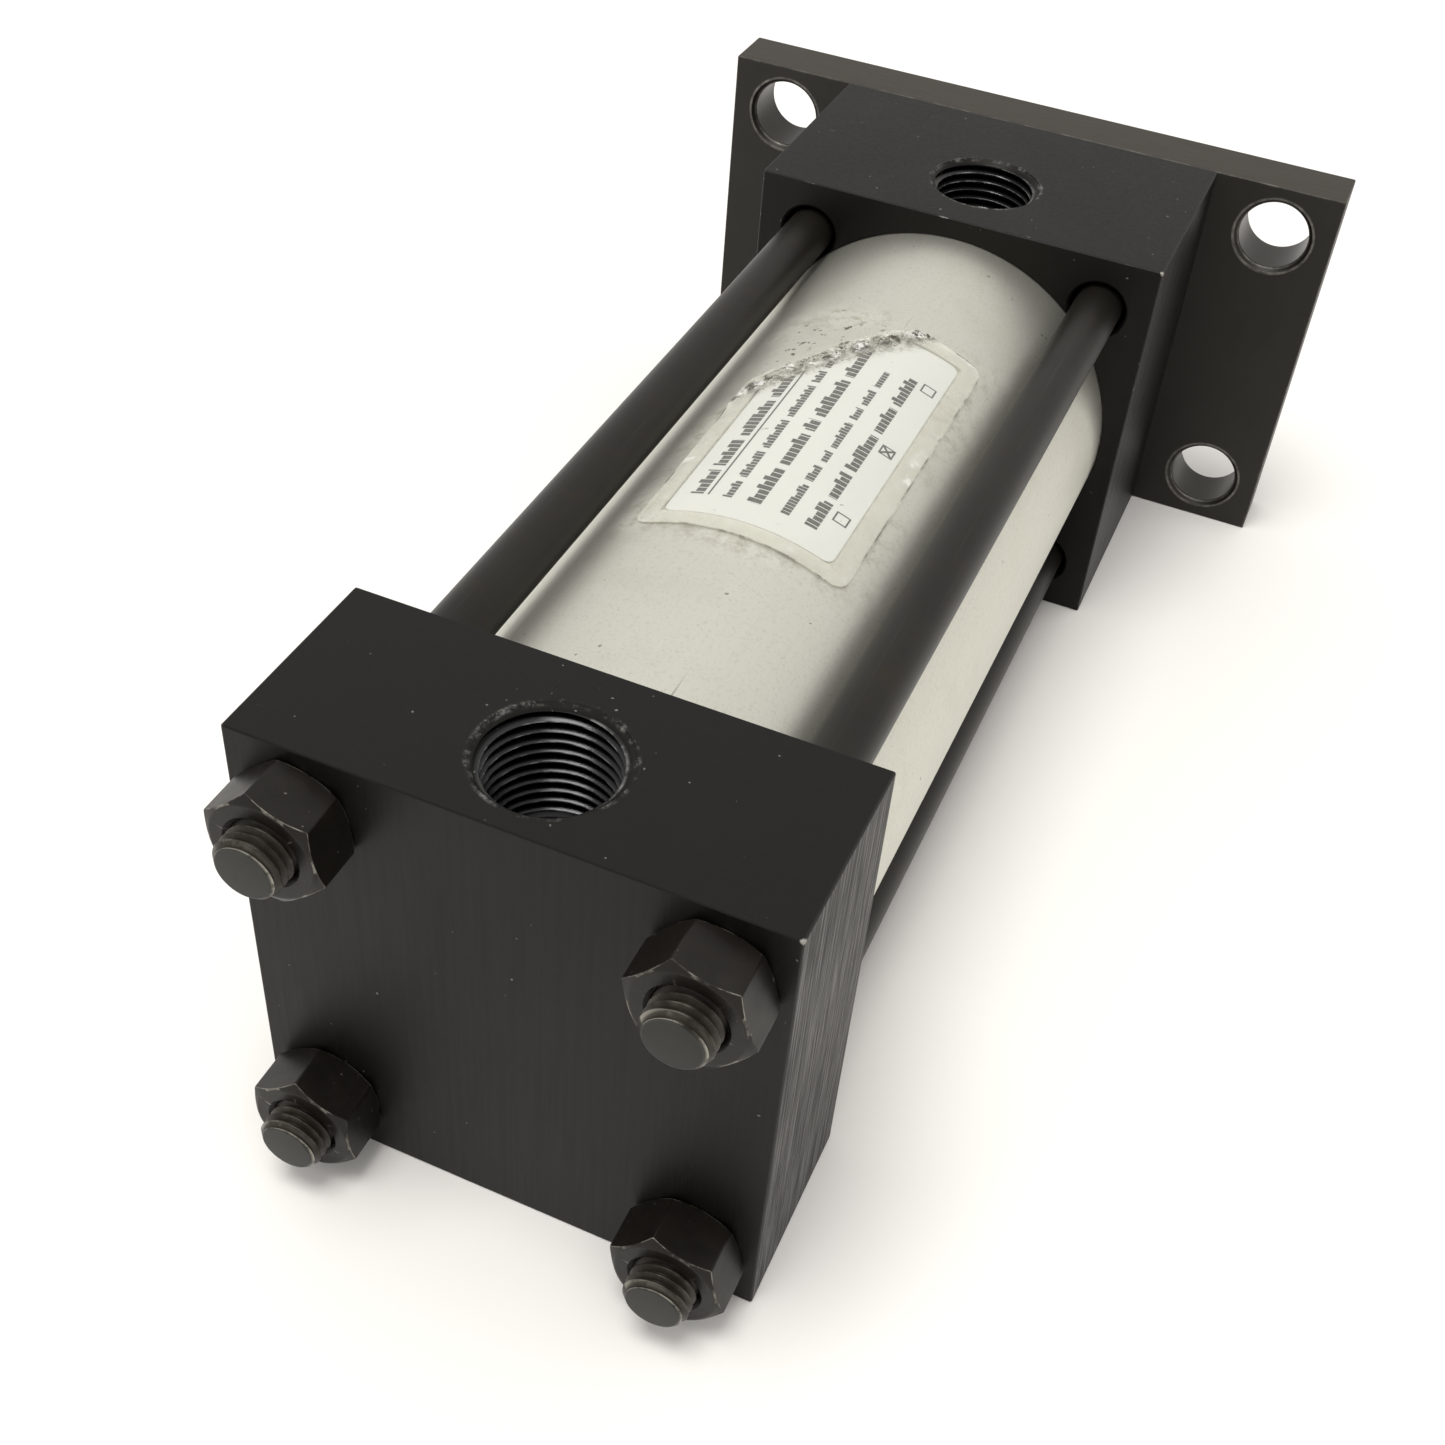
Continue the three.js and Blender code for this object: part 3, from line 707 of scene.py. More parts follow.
def black_oxide_plate(name, low, high):
    """Black oxide steel plate: olive-black faces, browner sawn edges, bright rims on worn holes."""
    look = Look(name, metallic=0.3)
    rolled = look.noise(1.0, 4.0, 0.6, look.scaled(240, 2600, 240))
    sawn = look.noise(1.0, 4.0, 0.65, look.scaled(180, 3200, 3200))
    cloud = look.noise(90, 5.0, 0.6)
    fine = look.noise(2400, 3.0)
    tone = look.mix(cloud, (0.0070, 0.0060, 0.0040, 1), (0.0130, 0.0112, 0.0075, 1))
    depth = (low.y + high.y) / 2
    on_edge = look.smooth(
        look.offset(look.y, depth), (high.y - low.y) / 2 - 0.02 * MM, (high.y - low.y) / 2 - 0.3 * MM
    )
    outer = look.most(
        look.smooth(look.offset(look.x, 0), high.x - 0.4 * MM, high.x - 0.1 * MM),
        look.smooth(look.offset(look.z, 0), high.z - 0.4 * MM, high.z - 0.1 * MM),
    )
    on_edge = look.times(on_edge, outer)
    brown = look.mix(sawn, (0.0175, 0.0135, 0.0080, 1), (0.033, 0.0265, 0.0165, 1))
    tone = look.mix(on_edge, tone, brown)

    mirrored = look.add("ShaderNodeCombineXYZ")
    look.link(look.offset(look.x, 0), mirrored.inputs[0])
    look.link(look.offset(look.z, 0), mirrored.inputs[2])
    hole = look.vector("DISTANCE", mirrored.outputs[0], (BOLT_X, 0, BOLT_Z)).outputs["Value"]
    scratched = look.smooth(look.noise(520, 5.0, 0.7), 0.35, 0.7)
    ring = look.smooth(look.offset(hole, BOLT_RADIUS + 0.85 * MM), 0.3 * MM, 0.08 * MM)
    lip = look.smooth(look.offset(hole, BOLT_RADIUS), 0.35 * MM, 0.1 * MM)
    rim = look.times(look.most(ring, lip), look.blend(scratched, 0.2, 1.0))
    tone = look.mix(look.times(rim, 0.8), tone, (0.26, 0.25, 0.225, 1))
    bore = look.smooth(hole, BOLT_RADIUS + 0.12 * MM, BOLT_RADIUS + 0.02 * MM)
    tone = look.mix(bore, tone, look.mix(cloud, (0.020, 0.0185, 0.015, 1), (0.044, 0.041, 0.034, 1)))
    edge = look.smooth(look.edge_distance(low, high), 0.4 * MM, 0.05 * MM)
    edge_band = look.times(
        look.most(edge, look.wear()), look.smooth(look.noise(260, 4.0, 0.65), 0.42, 0.75), 0.5
    )
    tone = look.mix(edge_band, tone, (0.15, 0.138, 0.112, 1))
    look.set(
        base_color=tone,
        roughness=look.blend(bore, look.blend(rolled, 0.42, 0.58), 0.33),
        metallic=look.blend(look.most(rim, bore), 0.3, 0.8),
        normal=look.bump(
            fine, 0.02 * MM, 0.4, look.bump(look.blend(on_edge, rolled, sawn), 0.03 * MM, 0.4)
        ),
    )
    return look.material


def black_rod(name, end, shift):
    """Black oxide rod: fine lines along it, browned threads and a bright worn rim at its cap end."""
    look = Look(name, shift, metallic=0.45, specular_ior_level=0.4)
    lines = look.noise(1.0, 3.0, 0.6, look.scaled(1900, 22, 1900))
    cloud = look.noise(110, 4.0)
    patch = look.noise(420, 4.0, 0.6)
    tone = look.mix(cloud, (0.0095, 0.0084, 0.0066, 1), (0.0190, 0.0172, 0.0140, 1))
    tone = look.mix(look.times(look.smooth(lines, 0.55, 0.8), 0.7), tone, (0.034, 0.031, 0.0255, 1))
    tone = look.mix(look.smooth(look.noise(260, 5.0, 0.7), 0.5, 0.72), tone, (0.0185, 0.0145, 0.0095, 1))
    thread = look.smooth(look.y, 0, -1 * MM)
    tone = look.mix(thread, tone, look.mix(patch, (0.0060, 0.0045, 0.0027, 1), (0.0210, 0.0160, 0.0095, 1)))
    face = look.smooth(look.y, end + 0.16 * MM, end + 0.05 * MM)
    tone = look.mix(face, tone, look.mix(patch, (0.0120, 0.0125, 0.0110, 1), (0.0225, 0.0235, 0.0205, 1)))
    start = look.smooth(look.y, end + 0.9 * MM, end + 0.5 * MM)
    rim = look.times(look.wear(), start, look.smooth(look.noise(300, 4.0, 0.65), 0.36, 0.55))
    crest = look.times(look.wear(), thread, look.smooth(patch, 0.4, 0.7), 0.3)
    bright = look.most(rim, crest)
    tone = look.mix(bright, tone, (0.36, 0.345, 0.30, 1))
    look.set(
        base_color=tone,
        roughness=look.blend(bright, look.blend(lines, 0.36, 0.48), 0.3),
        metallic=look.blend(bright, 0.45, 0.9),
        normal=look.bump(patch, 0.02 * MM, 0.3, look.bump(lines, 0.015 * MM, 0.4)),
    )
    return look.material


def black_nut(name, shift):
    """Black oxide nut with a brown cast and bright worn lines where its faces meet."""
    look = Look(name, shift, metallic=0.25, specular_ior_level=0.33)
    cloud = look.noise(420, 4.0, 0.6)
    broad = look.noise(130, 3.0)
    fine = look.noise(3000, 3.0)
    tone = look.mix(cloud, (0.0034, 0.0025, 0.0016, 1), (0.0100, 0.0077, 0.0052, 1))
    tone = look.mix(look.smooth(broad, 0.5, 0.7), tone, (0.0120, 0.0102, 0.0078, 1))
    worn = look.times(
        look.smooth(look.wear(), 0.3, 0.85), look.smooth(look.noise(300, 4.0, 0.7), 0.42, 0.66)
    )
    nicks = look.times(look.smooth(look.noise(900, 3.0, 0.6), 0.70, 0.76), 0.5)
    bright = look.most(look.times(worn, 0.85), nicks)
    tone = look.mix(bright, tone, (0.30, 0.285, 0.245, 1))
    look.set(
        base_color=tone,
        roughness=look.blend(bright, look.blend(cloud, 0.33, 0.5), 0.32),
        metallic=look.blend(bright, 0.25, 0.9),
        normal=look.bump(fine, 0.03 * MM, 0.4, look.bump(cloud, 0.08 * MM, 0.45)),
    )
    return look.material


def turned_metal(name, dark, light, rough_low, rough_high, rings=2400, stain=None):
    """Bare metal from a lathe: fine rings about the rod's axis, and stains where a colour is given."""
    look = Look(name, metallic=1.0)
    reach = look.away((0, 0, 0), "Y")
    flat = look.add("ShaderNodeCombineXYZ")
    look.link(look.times(reach, rings), flat.inputs[0])
    look.link(look.times(look.y, rings), flat.inputs[1])
    lines = look.noise(1.0, 3.0, 0.6, flat.outputs[0])
    cloud = look.noise(120, 4.0)
    tone = look.mix(look.math("ADD", look.times(cloud, 0.6), look.times(lines, 0.4)), dark, light)
    if stain:
        tone = look.mix(look.times(look.smooth(look.noise(260, 5.0, 0.65), 0.52, 0.75), 0.7), tone, stain)
    edge_band = look.times(look.wear(), 0.4)
    tone = look.mix(edge_band, tone, (0.78, 0.76, 0.72, 1))
    look.set(
        base_color=tone,
        roughness=look.math("ADD", look.blend(lines, rough_low, rough_high), look.times(cloud, 0.05)),
        normal=look.bump(lines, 0.006 * MM, 0.3),
    )
    return look.material


def rubber(name, dark=(0.012, 0.012, 0.012, 1), light=(0.028, 0.028, 0.027, 1)):
    look = Look(name, metallic=0.0, ior=1.5)
    fine = look.noise(2600, 3.0)
    look.set(
        base_color=look.mix(look.noise(300, 3.0), dark, light),
        roughness=look.blend(fine, 0.48, 0.7),
        normal=look.bump(fine, 0.02 * MM, 0.4),
    )
    return look.material


def acetal(name):
    look = Look(name, metallic=0.0, ior=1.48)
    fine = look.noise(1800, 3.0)
    look.set(
        base_color=look.mix(look.noise(150), (0.72, 0.69, 0.6, 1), (0.82, 0.8, 0.72, 1)),
        roughness=look.blend(fine, 0.35, 0.5),
        normal=look.bump(fine, 0.01 * MM, 0.3),
    )
    return look.material


def label_paper(name):
    """White label, with plain blocks in place of words, tick boxes and one cross; soiled along its tear."""
    look = Look(name, metallic=0.0, ior=1.45)
    fine = look.noise(1500, 3.0)
    tone = look.mix(look.noise(90, 4.0), (0.56, 0.57, 0.535, 1), (0.62, 0.63, 0.59, 1))
    rows = seeded_rows()
    print_marks = [printed_row(look, *row) for row in rows]
    first_foot = rows[0][0]
    length = LABEL_HIGH.y - LABEL_LOW.y
    underline = (0.13 * MM, (0.5 - PRINT_MARGIN) * length)
    print_marks.append(look.bar(on_label(first_foot + 0.03, 0.5), underline))
    last_foot = rows[-1][0]
    for i in range(TICK_BOXES):
        centre = on_label(last_foot + 0.08, (i + 0.5) / TICK_BOXES)
        beyond = look.bar_distance(centre, (0.9 * MM, 0.9 * MM))
        print_marks.append(look.smooth(look.offset(beyond, 0), 0.16 * MM, 0.08 * MM))
        if i == TICK_BOXES // 2:
            for turn in (45, -45):
                print_marks.append(look.bar(centre, (1.2 * MM, 0.18 * MM), turn))
    ink = look.times(look.most(*print_marks), look.blend(look.noise(1400, 3.0), 0.82, 1.0))
    tone = look.mix(ink, tone, (0.008, 0.008, 0.0085, 1))
    dusty = look.smooth(look.noise(900, 5.0, 0.75), 0.45, 0.62)
    soiled = look.times(look.smooth(look.beyond_tear(), -3.5 * MM, -0.5 * MM), look.blend(dusty, 0.35, 1.0))
    soil = look.mix(dusty, (0.33, 0.30, 0.24, 1), (0.045, 0.038, 0.028, 1))
    tone = look.mix(soiled, tone, soil)
    specks = look.times(look.smooth(look.noise(900, 2.0, 0.4), 0.76, 0.79), 0.6)
    tone = look.mix(specks, tone, (0.2, 0.18, 0.14, 1))
    look.set(
        base_color=tone,
        roughness=look.blend(fine, 0.36, 0.5),
        normal=look.bump(look.noise(240, 3.0), 0.05 * MM, 0.25, look.bump(fine, 0.006 * MM, 0.3)),
    )
    return look.material


def seeded_rows():
    """Rows of print from seeded draws: each one's foot, height and words, as shares of the label."""
    draw = random.Random(PRINT_SEED)
    rows = []
    for i in range(PRINT_ROWS):
        words = []
        start = PRINT_MARGIN
        while start < 1 - 2 * PRINT_MARGIN:
            end = min(start + draw.uniform(0.05, 0.2), 1 - PRINT_MARGIN)
            words.append((start, end))
            start = end + WORD_GAP
        rows.append(((i + 1) / (PRINT_ROWS + 1), draw.uniform(0.05, 0.10), words))
    return rows


def printed_row(look, foot, height, words):
    """A row of blocks that stands for words."""
    width, length = LABEL_RIGHT - LABEL_LEFT, LABEL_HIGH.y - LABEL_LOW.y
    base, tall = on_label(foot, 0)[0], height * width
    cell = look.math("DIVIDE", look.y, 0.55 * tall)
    number = look.math("FLOOR", cell)
    chance = look.add("ShaderNodeTexWhiteNoise", noise_dimensions="1D")
    look.link(look.math("ADD", number, 100 * foot), chance.inputs["W"])
    within = look.offset(look.math("SUBTRACT", cell, number), 0.5)
    block = look.smooth(within, 0.45, 0.41)
    short = look.math("GREATER_THAN", chance.outputs["Value"], 0.6)
    top = look.blend(short, base - 0.72 * tall, base - tall)
    above = look.smooth(look.math("SUBTRACT", look.girth(), top), -0.05 * MM, 0.05 * MM)
    below = look.smooth(look.girth(), base + 0.05 * MM, base - 0.05 * MM)
    covers = []
    for start, end in words:
        half = (end - start) * length / 2
        reach = look.offset(look.y, on_label(0, (start + end) / 2)[1])
        covers.append(look.smooth(reach, half, half - 0.1 * MM))
    return look.times(block, above, below, look.most(*covers))


def clear_film(name):
    """Clear yellowed film: glossy, milky with painted glints where it crumples, and lined with dirt along its
    edges.
    """
    look = Look(name, metallic=0.0, ior=1.47)
    waves = look.noise(170, 3.0, 0.5)
    fine = look.noise(620, 4.0, 0.65)
    middle = ((FILM_RIGHT + FILM_LEFT) / 2, (FILM_LOW.y + FILM_HIGH.y) / 2)
    half = ((FILM_RIGHT - FILM_LEFT) / 2, (FILM_HIGH.y - FILM_LOW.y) / 2)
    inwards = look.times(look.bar_distance(middle, half), -1)
    rim = look.times(
        look.smooth(inwards, 0.28 * MM, 0.12 * MM),
        look.blend(look.smooth(look.noise(190, 5.0, 0.75), 0.45, 0.6), 0.15, 1.0)
    )
    near_tear = look.smooth(look.offset(look.beyond_tear(), 0), 2.5 * MM, 0.5 * MM)
    tear_dirt = look.times(near_tear, look.smooth(look.noise(850, 5.0, 0.8), 0.45, 0.58))
    dirt = look.most(look.times(rim, 0.8), tear_dirt, look.times(near_tear, look.wear(), 0.3))
    # Milky crumpled film, painted whiter still as painted glints, along the tear and near the film's edges.
    by_edge = look.smooth(inwards, 3 * MM, MM)
    crumple_milk_and_glint = look.most(
        look.times(near_tear, look.smooth(look.noise(500, 3.0), 0.45, 0.6)),
        look.times(by_edge, look.smooth(look.noise(130, 3.0), 0.55, 0.65), 0.7),
    )
    margin = look.smooth(look.bar_distance(LABEL_MIDDLE, LABEL_HALF), -0.1 * MM, 0.5 * MM)
    tone = look.mix(waves, (0.70, 0.69, 0.60, 1), (0.78, 0.775, 0.69, 1))
    tone = look.mix(crumple_milk_and_glint, tone, (0.90, 0.895, 0.86, 1))
    tone = look.mix(dirt, tone, (0.060, 0.048, 0.033, 1))
    alpha = look.blend(margin, 0.05, look.blend(waves, 0.26, 0.44))
    alpha = look.most(
        alpha, look.times(crumple_milk_and_glint, look.blend(look.noise(700, 3.0), 0.5, 1.0)), look.times(dirt, 0.92)
    )
    ripple = look.bump(waves, 0.5 * MM, 0.5, look.bump(fine, 0.09 * MM, 0.4))
    look.set(
        base_color=tone,
        alpha=alpha,
        roughness=look.blend(dirt, look.blend(fine, 0.08, 0.2), 0.6),
        normal=ripple
    )
    return look.material


# =====================================================================================================
# Pieces
# =====================================================================================================


def mark_wear(piece):
    """Stores at each point how sharply the surface bends outwards there, from 0 to 1."""
    gentle, full = 10, 32
    flat_area = 0.25 * MM**2  # a face this large belongs to a flat, and its corners are left unmarked
    bm = bmesh.new()
    bm.from_mesh(piece.data)
    layer = bm.verts.layers.float.new("wear")
    for edge in bm.edges:
        if len(edge.link_faces) == 2:
            bend = math.degrees(edge.calc_face_angle_signed(0))
            share = min(max((bend - gentle) / (full - gentle), 0), 1)
            for vertex in edge.verts:
                vertex[layer] = max(vertex[layer], share)
    for face in bm.faces:
        if face.calc_area() > flat_area:
            for vertex in face.verts:
                vertex[layer] = 0
    bm.to_mesh(piece.data)
    bm.free()


def add_piece(piece, name, body, slot, material, *nodes, sharp=32):
    """Finishes a piece: shading, material, the body that it rides on and the CAD nodes that it stands for."""
    piece.name = name
    piece.data.name = name
    mark_wear(piece)
    finish_shading(piece, sharp)
    piece.data.materials.clear()
    piece.data.materials.append(material)
    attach(piece, body)
    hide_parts(*nodes)
    return piece


def port_cutter(y):
    """Tapered pipe thread with a countersunk mouth, in the top face, and the drilled way below it."""
    bottom = TOP - PORT_THREAD_DEPTH
    height = 0.8 * PORT_PITCH

    def pitch_radius(z):
        return PORT_PITCH_RADIUS + (z - TOP) * PORT_TAPER

    screw = helix("port", PORT_PITCH, height, pitch_radius, bottom - MM, TOP + MM)
    root = PORT_PITCH_RADIUS + height
    tip = PORT_PITCH_RADIUS - PORT_TAPER * PORT_THREAD_DEPTH - height / 2
    above = TOP + 0.5 * MM
    envelope = turned(
        "envelope",
        [(0, above), (root, above), (root, bottom + 2 * MM), (tip, bottom), (0, bottom)],
        HOLE_ROUND
    )
    combine(screw, envelope, "INTERSECT")
    depth = 0.75 * MM
    mouth_outline = [
        (0, TOP + MM),
        (PORT_MOUTH_RADIUS + MM, TOP + MM),
        (PORT_MOUTH_RADIUS, TOP),
        (PORT_MOUTH_RADIUS - depth, TOP - depth),
        (0, TOP - depth),
    ]
    combine(screw, turned("mouth", mouth_outline, HOLE_ROUND), "UNION")
    way_bottom = 7.4 * MM
    way_outline = [
        (0, bottom + MM), (PORT_DRILL_RADIUS, bottom + MM), (PORT_DRILL_RADIUS, way_bottom), (0, way_bottom)
    ]
    combine(screw, turned("way", way_outline, 48), "UNION")
    return place(screw, Matrix.Translation((0, y, 0)))


def cut_tie_rod_holes(piece, low, high, radius, sink=0.35 * MM):
    """Round holes for the tie rods through a block, with small countersinks."""
    outline = [
        (0, low - MM),
        (radius + sink + MM, low - MM),
        (radius, low + sink),
        (radius, high - sink),
        (radius + sink + MM, high + MM),
        (0, high + MM),
    ]
    for corner in CORNERS:
        centre = middle("tie_rod_" + corner)
        combine(piece, turned_along_y("hole", outline, centre.x, centre.z, 64), "DIFFERENCE")


def cut_tube_seat(piece, rear, front):
    inner = BORE_RADIUS - 0.1 * MM
    outer = BARREL_RADIUS + 0.12 * MM
    cutter = turned_along_y("seat", [(inner, rear), (outer, rear), (outer, front), (inner, front)])
    combine(piece, cutter, "DIFFERENCE")


def port_place(node):
    """Centre of a port along Y, from the mount beside it."""
    mounts = frame["record"]["mounts"]
    return next(m["pos_m"][1] for m in mounts if m["name"] == node + "_port_face")


def make_cap():
    piece = rounded_block("cap_block", CAP_LOW, CAP_HIGH, BLOCK_EDGE)
    cut_tie_rod_holes(piece, CAP_LOW.y, CAP_HIGH.y, TIE_ROD_HOLE / 2)
    cut_tube_seat(piece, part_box("cap_tube_seal")[0].y, CAP_HIGH.y + MM)
    floor = CAP_HIGH.y - CAP_CAVITY_DEPTH
    front = CAP_HIGH.y + MM
    cavity = turned_along_y(
        "cavity", [(0, floor), (CAVITY_RADIUS, floor, MM), (CAVITY_RADIUS, front), (0, front)]
    )
    combine(piece, cavity, "DIFFERENCE")
    port = port_place("cap")
    combine(piece, port_cutter(port), "DIFFERENCE")
    chips = [(Vector((CAP_HIGH.x, CAP_LOW.y, TOP)), CORNER_CHIP)]
    # The cap's side faces get the full painted sheen (1.0).
    look = black_anodised("cap_finish", CAP_LOW, CAP_HIGH, port, 1.0, chips)
    add_piece(piece, "cap_block", "cylinder", "black_anodised", look, "cap")


def make_head():
    piece = rounded_block("head_block", HEAD_LOW, HEAD_HIGH, BLOCK_EDGE)
    cut_tie_rod_holes(piece, HEAD_LOW.y, HEAD_HIGH.y, TIE_ROD_HOLE / 2)
    cut_tube_seat(piece, HEAD_LOW.y - MM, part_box("head_tube_seal")[1].y)
    collar = BUSHING_HIGH.x + 0.1 * MM
    nose = PILOT_RADIUS + 0.1 * MM
    collar_rear = HEAD_HIGH.y - COLLAR_THICKNESS
    bore = [
        (0, HEAD_LOW.y - MM),
        (CAVITY_RADIUS, HEAD_LOW.y - MM),
        (CAVITY_RADIUS, BUSHING_LOW.y),
        (nose, BUSHING_LOW.y),
        (nose, collar_rear),
        (collar, collar_rear),
        (collar, HEAD_HIGH.y + MM),
        (0, HEAD_HIGH.y + MM),
    ]
    combine(piece, turned_along_y("bore", bore), "DIFFERENCE")
    port = port_place("head")
    combine(piece, port_cutter(port), "DIFFERENCE")
    chips = [(Vector((HEAD_HIGH.x, HEAD_LOW.y, TOP)), CORNER_CHIP)]
    # The head's side faces get 0.35 of the painted sheen, less than the cap's.
    look = black_anodised("head_finish", HEAD_LOW, HEAD_HIGH, port, 0.35, chips)
    add_piece(piece, "head_block", "cylinder", "black_anodised", look, "head")


def make_flange():
    piece = rounded_block("flange", FLANGE_LOW, FLANGE_HIGH, FLANGE_EDGE)
    rear, front = FLANGE_LOW.y, FLANGE_HIGH.y
    pilot = PILOT_RADIUS + 0.1 * MM
    hole = [(0, rear - MM), (pilot, rear - MM), (pilot, front + MM), (0, front + MM)]
    combine(piece, turned_along_y("pilot", hole), "DIFFERENCE")
    sink = 0.7 * MM
    outline = [
        (0, rear - MM),
        (BOLT_RADIUS + sink + MM, rear - MM),
        (BOLT_RADIUS, rear + sink, 0.3 * MM),
        (BOLT_RADIUS, front - sink, 0.3 * MM),
        (BOLT_RADIUS + sink + MM, front + MM),
        (0, front + MM),
    ]
    for side in (-1, 1):
        for level in (-1, 1):
            cutter = turned_along_y("bolt_hole", outline, side * BOLT_X, level * BOLT_Z, HOLE_ROUND)
            combine(piece, cutter, "DIFFERENCE")
    cut_tie_rod_holes(piece, rear, front, TAPPED_RADIUS, 0.4 * MM)
    look = black_oxide_plate("flange_finish", FLANGE_LOW, FLANGE_HIGH)
    add_piece(piece, "flange_plate", "cylinder", "black_oxide", look, "front_flange")


def make_ring(name, body, slot, material, node, inner, edge=0.2 * MM, segments=FINE_ROUND):
    """Plain ring about the rod's axis with rounded edges. Its outer radius and ends are its CAD node's."""
    low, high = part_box(node)
    outer = high.x
    outline = [(inner, low.y, edge), (outer, low.y, edge), (outer, high.y, edge), (inner, high.y, edge)]
    piece = turned_along_y(name, outline, segments=segments)
    add_piece(piece, name, body, slot, material, node)


def make_o_ring(name, body, material, node, inner):
    low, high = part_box(node)
    section = (high.x - inner) / 2
    half = (high.y - low.y) / 2
    outline = []
    for step in range(20):
        angle = 2 * math.pi * step / 20
        outline.append(
            (inner + section + section * math.cos(angle), (low.y + high.y) / 2 + half * math.sin(angle))
        )
    add_piece(turned_along_y(name, outline), name, body, "seal_rubber", material, node)


def lip_seal(name, body, material, node, inner, open_end):
    """U-shaped seal between two radii. Its lips point to its open end: -1 is the rear, 1 the front."""
    low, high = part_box(node)
    outer = high.x
    wall = (outer - inner) * 0.24
    length = high.y - low.y
    start = low.y if open_end > 0 else high.y
    soft = 0.25 * MM

    def at(share):
        return start + open_end * share * length

    outline = [
        (inner, at(0), soft),
        (outer, at(0), soft),
        (outer, at(1), 0.15 * MM),
        (outer - wall, at(0.97), 0.15 * MM),
        ((inner + outer) / 2, at(0.4), 0.8 * MM),
        (inner + wall, at(0.97), 0.15 * MM),
        (inner, at(1), 0.15 * MM),
    ]
    add_piece(turned_along_y(name, outline), name, body, "seal_rubber", material, node)


def make_gland():
    """Bronze bushing with its nose through the flange, its O-ring, the rod seal and the wiper."""
    end = BUSHING_HIGH.y
    collar_rear = HEAD_HIGH.y - COLLAR_THICKNESS
    ring_low, ring_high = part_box("bushing_o_ring")
    ring_middle = (ring_low.y + ring_high.y) / 2
    groove_rear, groove_front = ring_middle - 1.6 * MM, ring_middle + 1.6 * MM
    floor = PILOT_RADIUS - O_RING_DEPTH
    pocket_rear = BUSHING_LOW.y + SEAL_POCKET_DEPTH
    pocket_front = end - WIPER_POCKET_DEPTH
    edge = 0.3 * MM
    outline = [
        (GLAND_RADIUS, BUSHING_LOW.y, edge),
        (PILOT_RADIUS, BUSHING_LOW.y, edge),
        (PILOT_RADIUS, groove_rear, 0.15 * MM),
        (floor, groove_rear, edge),
        (floor, groove_front, edge),
        (PILOT_RADIUS, groove_front, 0.15 * MM),
        (PILOT_RADIUS, collar_rear),
        (BUSHING_HIGH.x, collar_rear, edge),
        (BUSHING_HIGH.x, HEAD_HIGH.y, edge),
        (PILOT_RADIUS, HEAD_HIGH.y),
        (PILOT_RADIUS, end - 0.8 * MM, 0.15 * MM),
        (PILOT_RADIUS - 0.8 * MM, end, 0.15 * MM),
        (GLAND_RADIUS, end, 0.2 * MM),
        (GLAND_RADIUS, pocket_front, edge),
        (GUIDE_RADIUS, pocket_front, 0.2 * MM),
        (GUIDE_RADIUS, pocket_rear, 0.2 * MM),
        (GLAND_RADIUS, pocket_rear, edge),
    ]
    bronze = turned_metal(
        "bronze_finish", (0.40, 0.255, 0.105, 1), (0.60, 0.42, 0.20, 1), 0.22, 0.36,
        stain=(0.22, 0.125, 0.05, 1),
    )
    add_piece(
        turned_along_y("bushing", outline), "bronze_bushing", "cylinder", "bronze", bronze, "rod_bushing"
    )
    black = rubber("seal_finish")
    make_o_ring("bushing_ring_seal", "cylinder", black, "bushing_o_ring", floor + 0.05 * MM)
    lip_seal("rod_lip_seal", "cylinder", black, "rod_seal", GUIDE_RADIUS, -1)
    make_wiper(black)


def make_wiper(material):
    """Scraper ring in the bushing's nose, with a lip that leans out along the rod."""
    low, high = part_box("rod_wiper")
    outline = [
        (GUIDE_RADIUS + 0.8 * MM, low.y, 0.2 * MM),
        (high.x, low.y, 0.2 * MM),
        (high.x, high.y - MM, 0.3 * MM),
        (GUIDE_RADIUS + 1.7 * MM, high.y - MM, 0.4 * MM),
        (GUIDE_RADIUS + 0.35 * MM, high.y, 0.15 * MM),
        (GUIDE_RADIUS, high.y - 0.4 * MM, 0.15 * MM),
        (GUIDE_RADIUS, high.y - 2 * MM, 0.4 * MM),
    ]
    add_piece(
        turned_along_y("wiper", outline), "rod_wiper_ring", "cylinder", "seal_rubber", material, "rod_wiper"
    )


def make_barrel():
    make_ring(
        "barrel_tube",
        "cylinder",
        "clear_anodised",
        clear_anodised("barrel_finish"),
        "barrel",
        BORE_RADIUS,
        segments=256
    )
    seal = rubber("gasket_finish", (0.016, 0.016, 0.016, 1), (0.032, 0.031, 0.03, 1))
    for end in ("cap", "head"):
        make_ring(
            end + "_gasket", "cylinder", "seal_rubber", seal, end + "_tube_seal", BORE_RADIUS, 0.1 * MM
        )


def threaded(shaft_outline, stretches, segments=HOLE_ROUND):
    """Turned shaft about local Z with threads. A stretch is (pitch, crest radius, from, to)."""
    shaft = turned("shaft", shaft_outline, segments)
    for pitch, crest, low, high in stretches:
        depth = 0.61 * pitch
        screw = helix("screw", pitch, depth, lambda z: crest - depth / 2, low, high, segments)
        wide = crest * 1.4
        sleeve_outline = [(0, low), (wide, low), (wide, high), (0, high)]
        inside = turned("inside", shaft_outline, segments)
        combine(inside, turned("sleeve", sleeve_outline, 32), "INTERSECT")
        combine(inside, screw, "INTERSECT")
        combine(shaft, turned("sleeve", sleeve_outline, 32), "DIFFERENCE")
        combine(shaft, inside, "UNION")
    return shaft


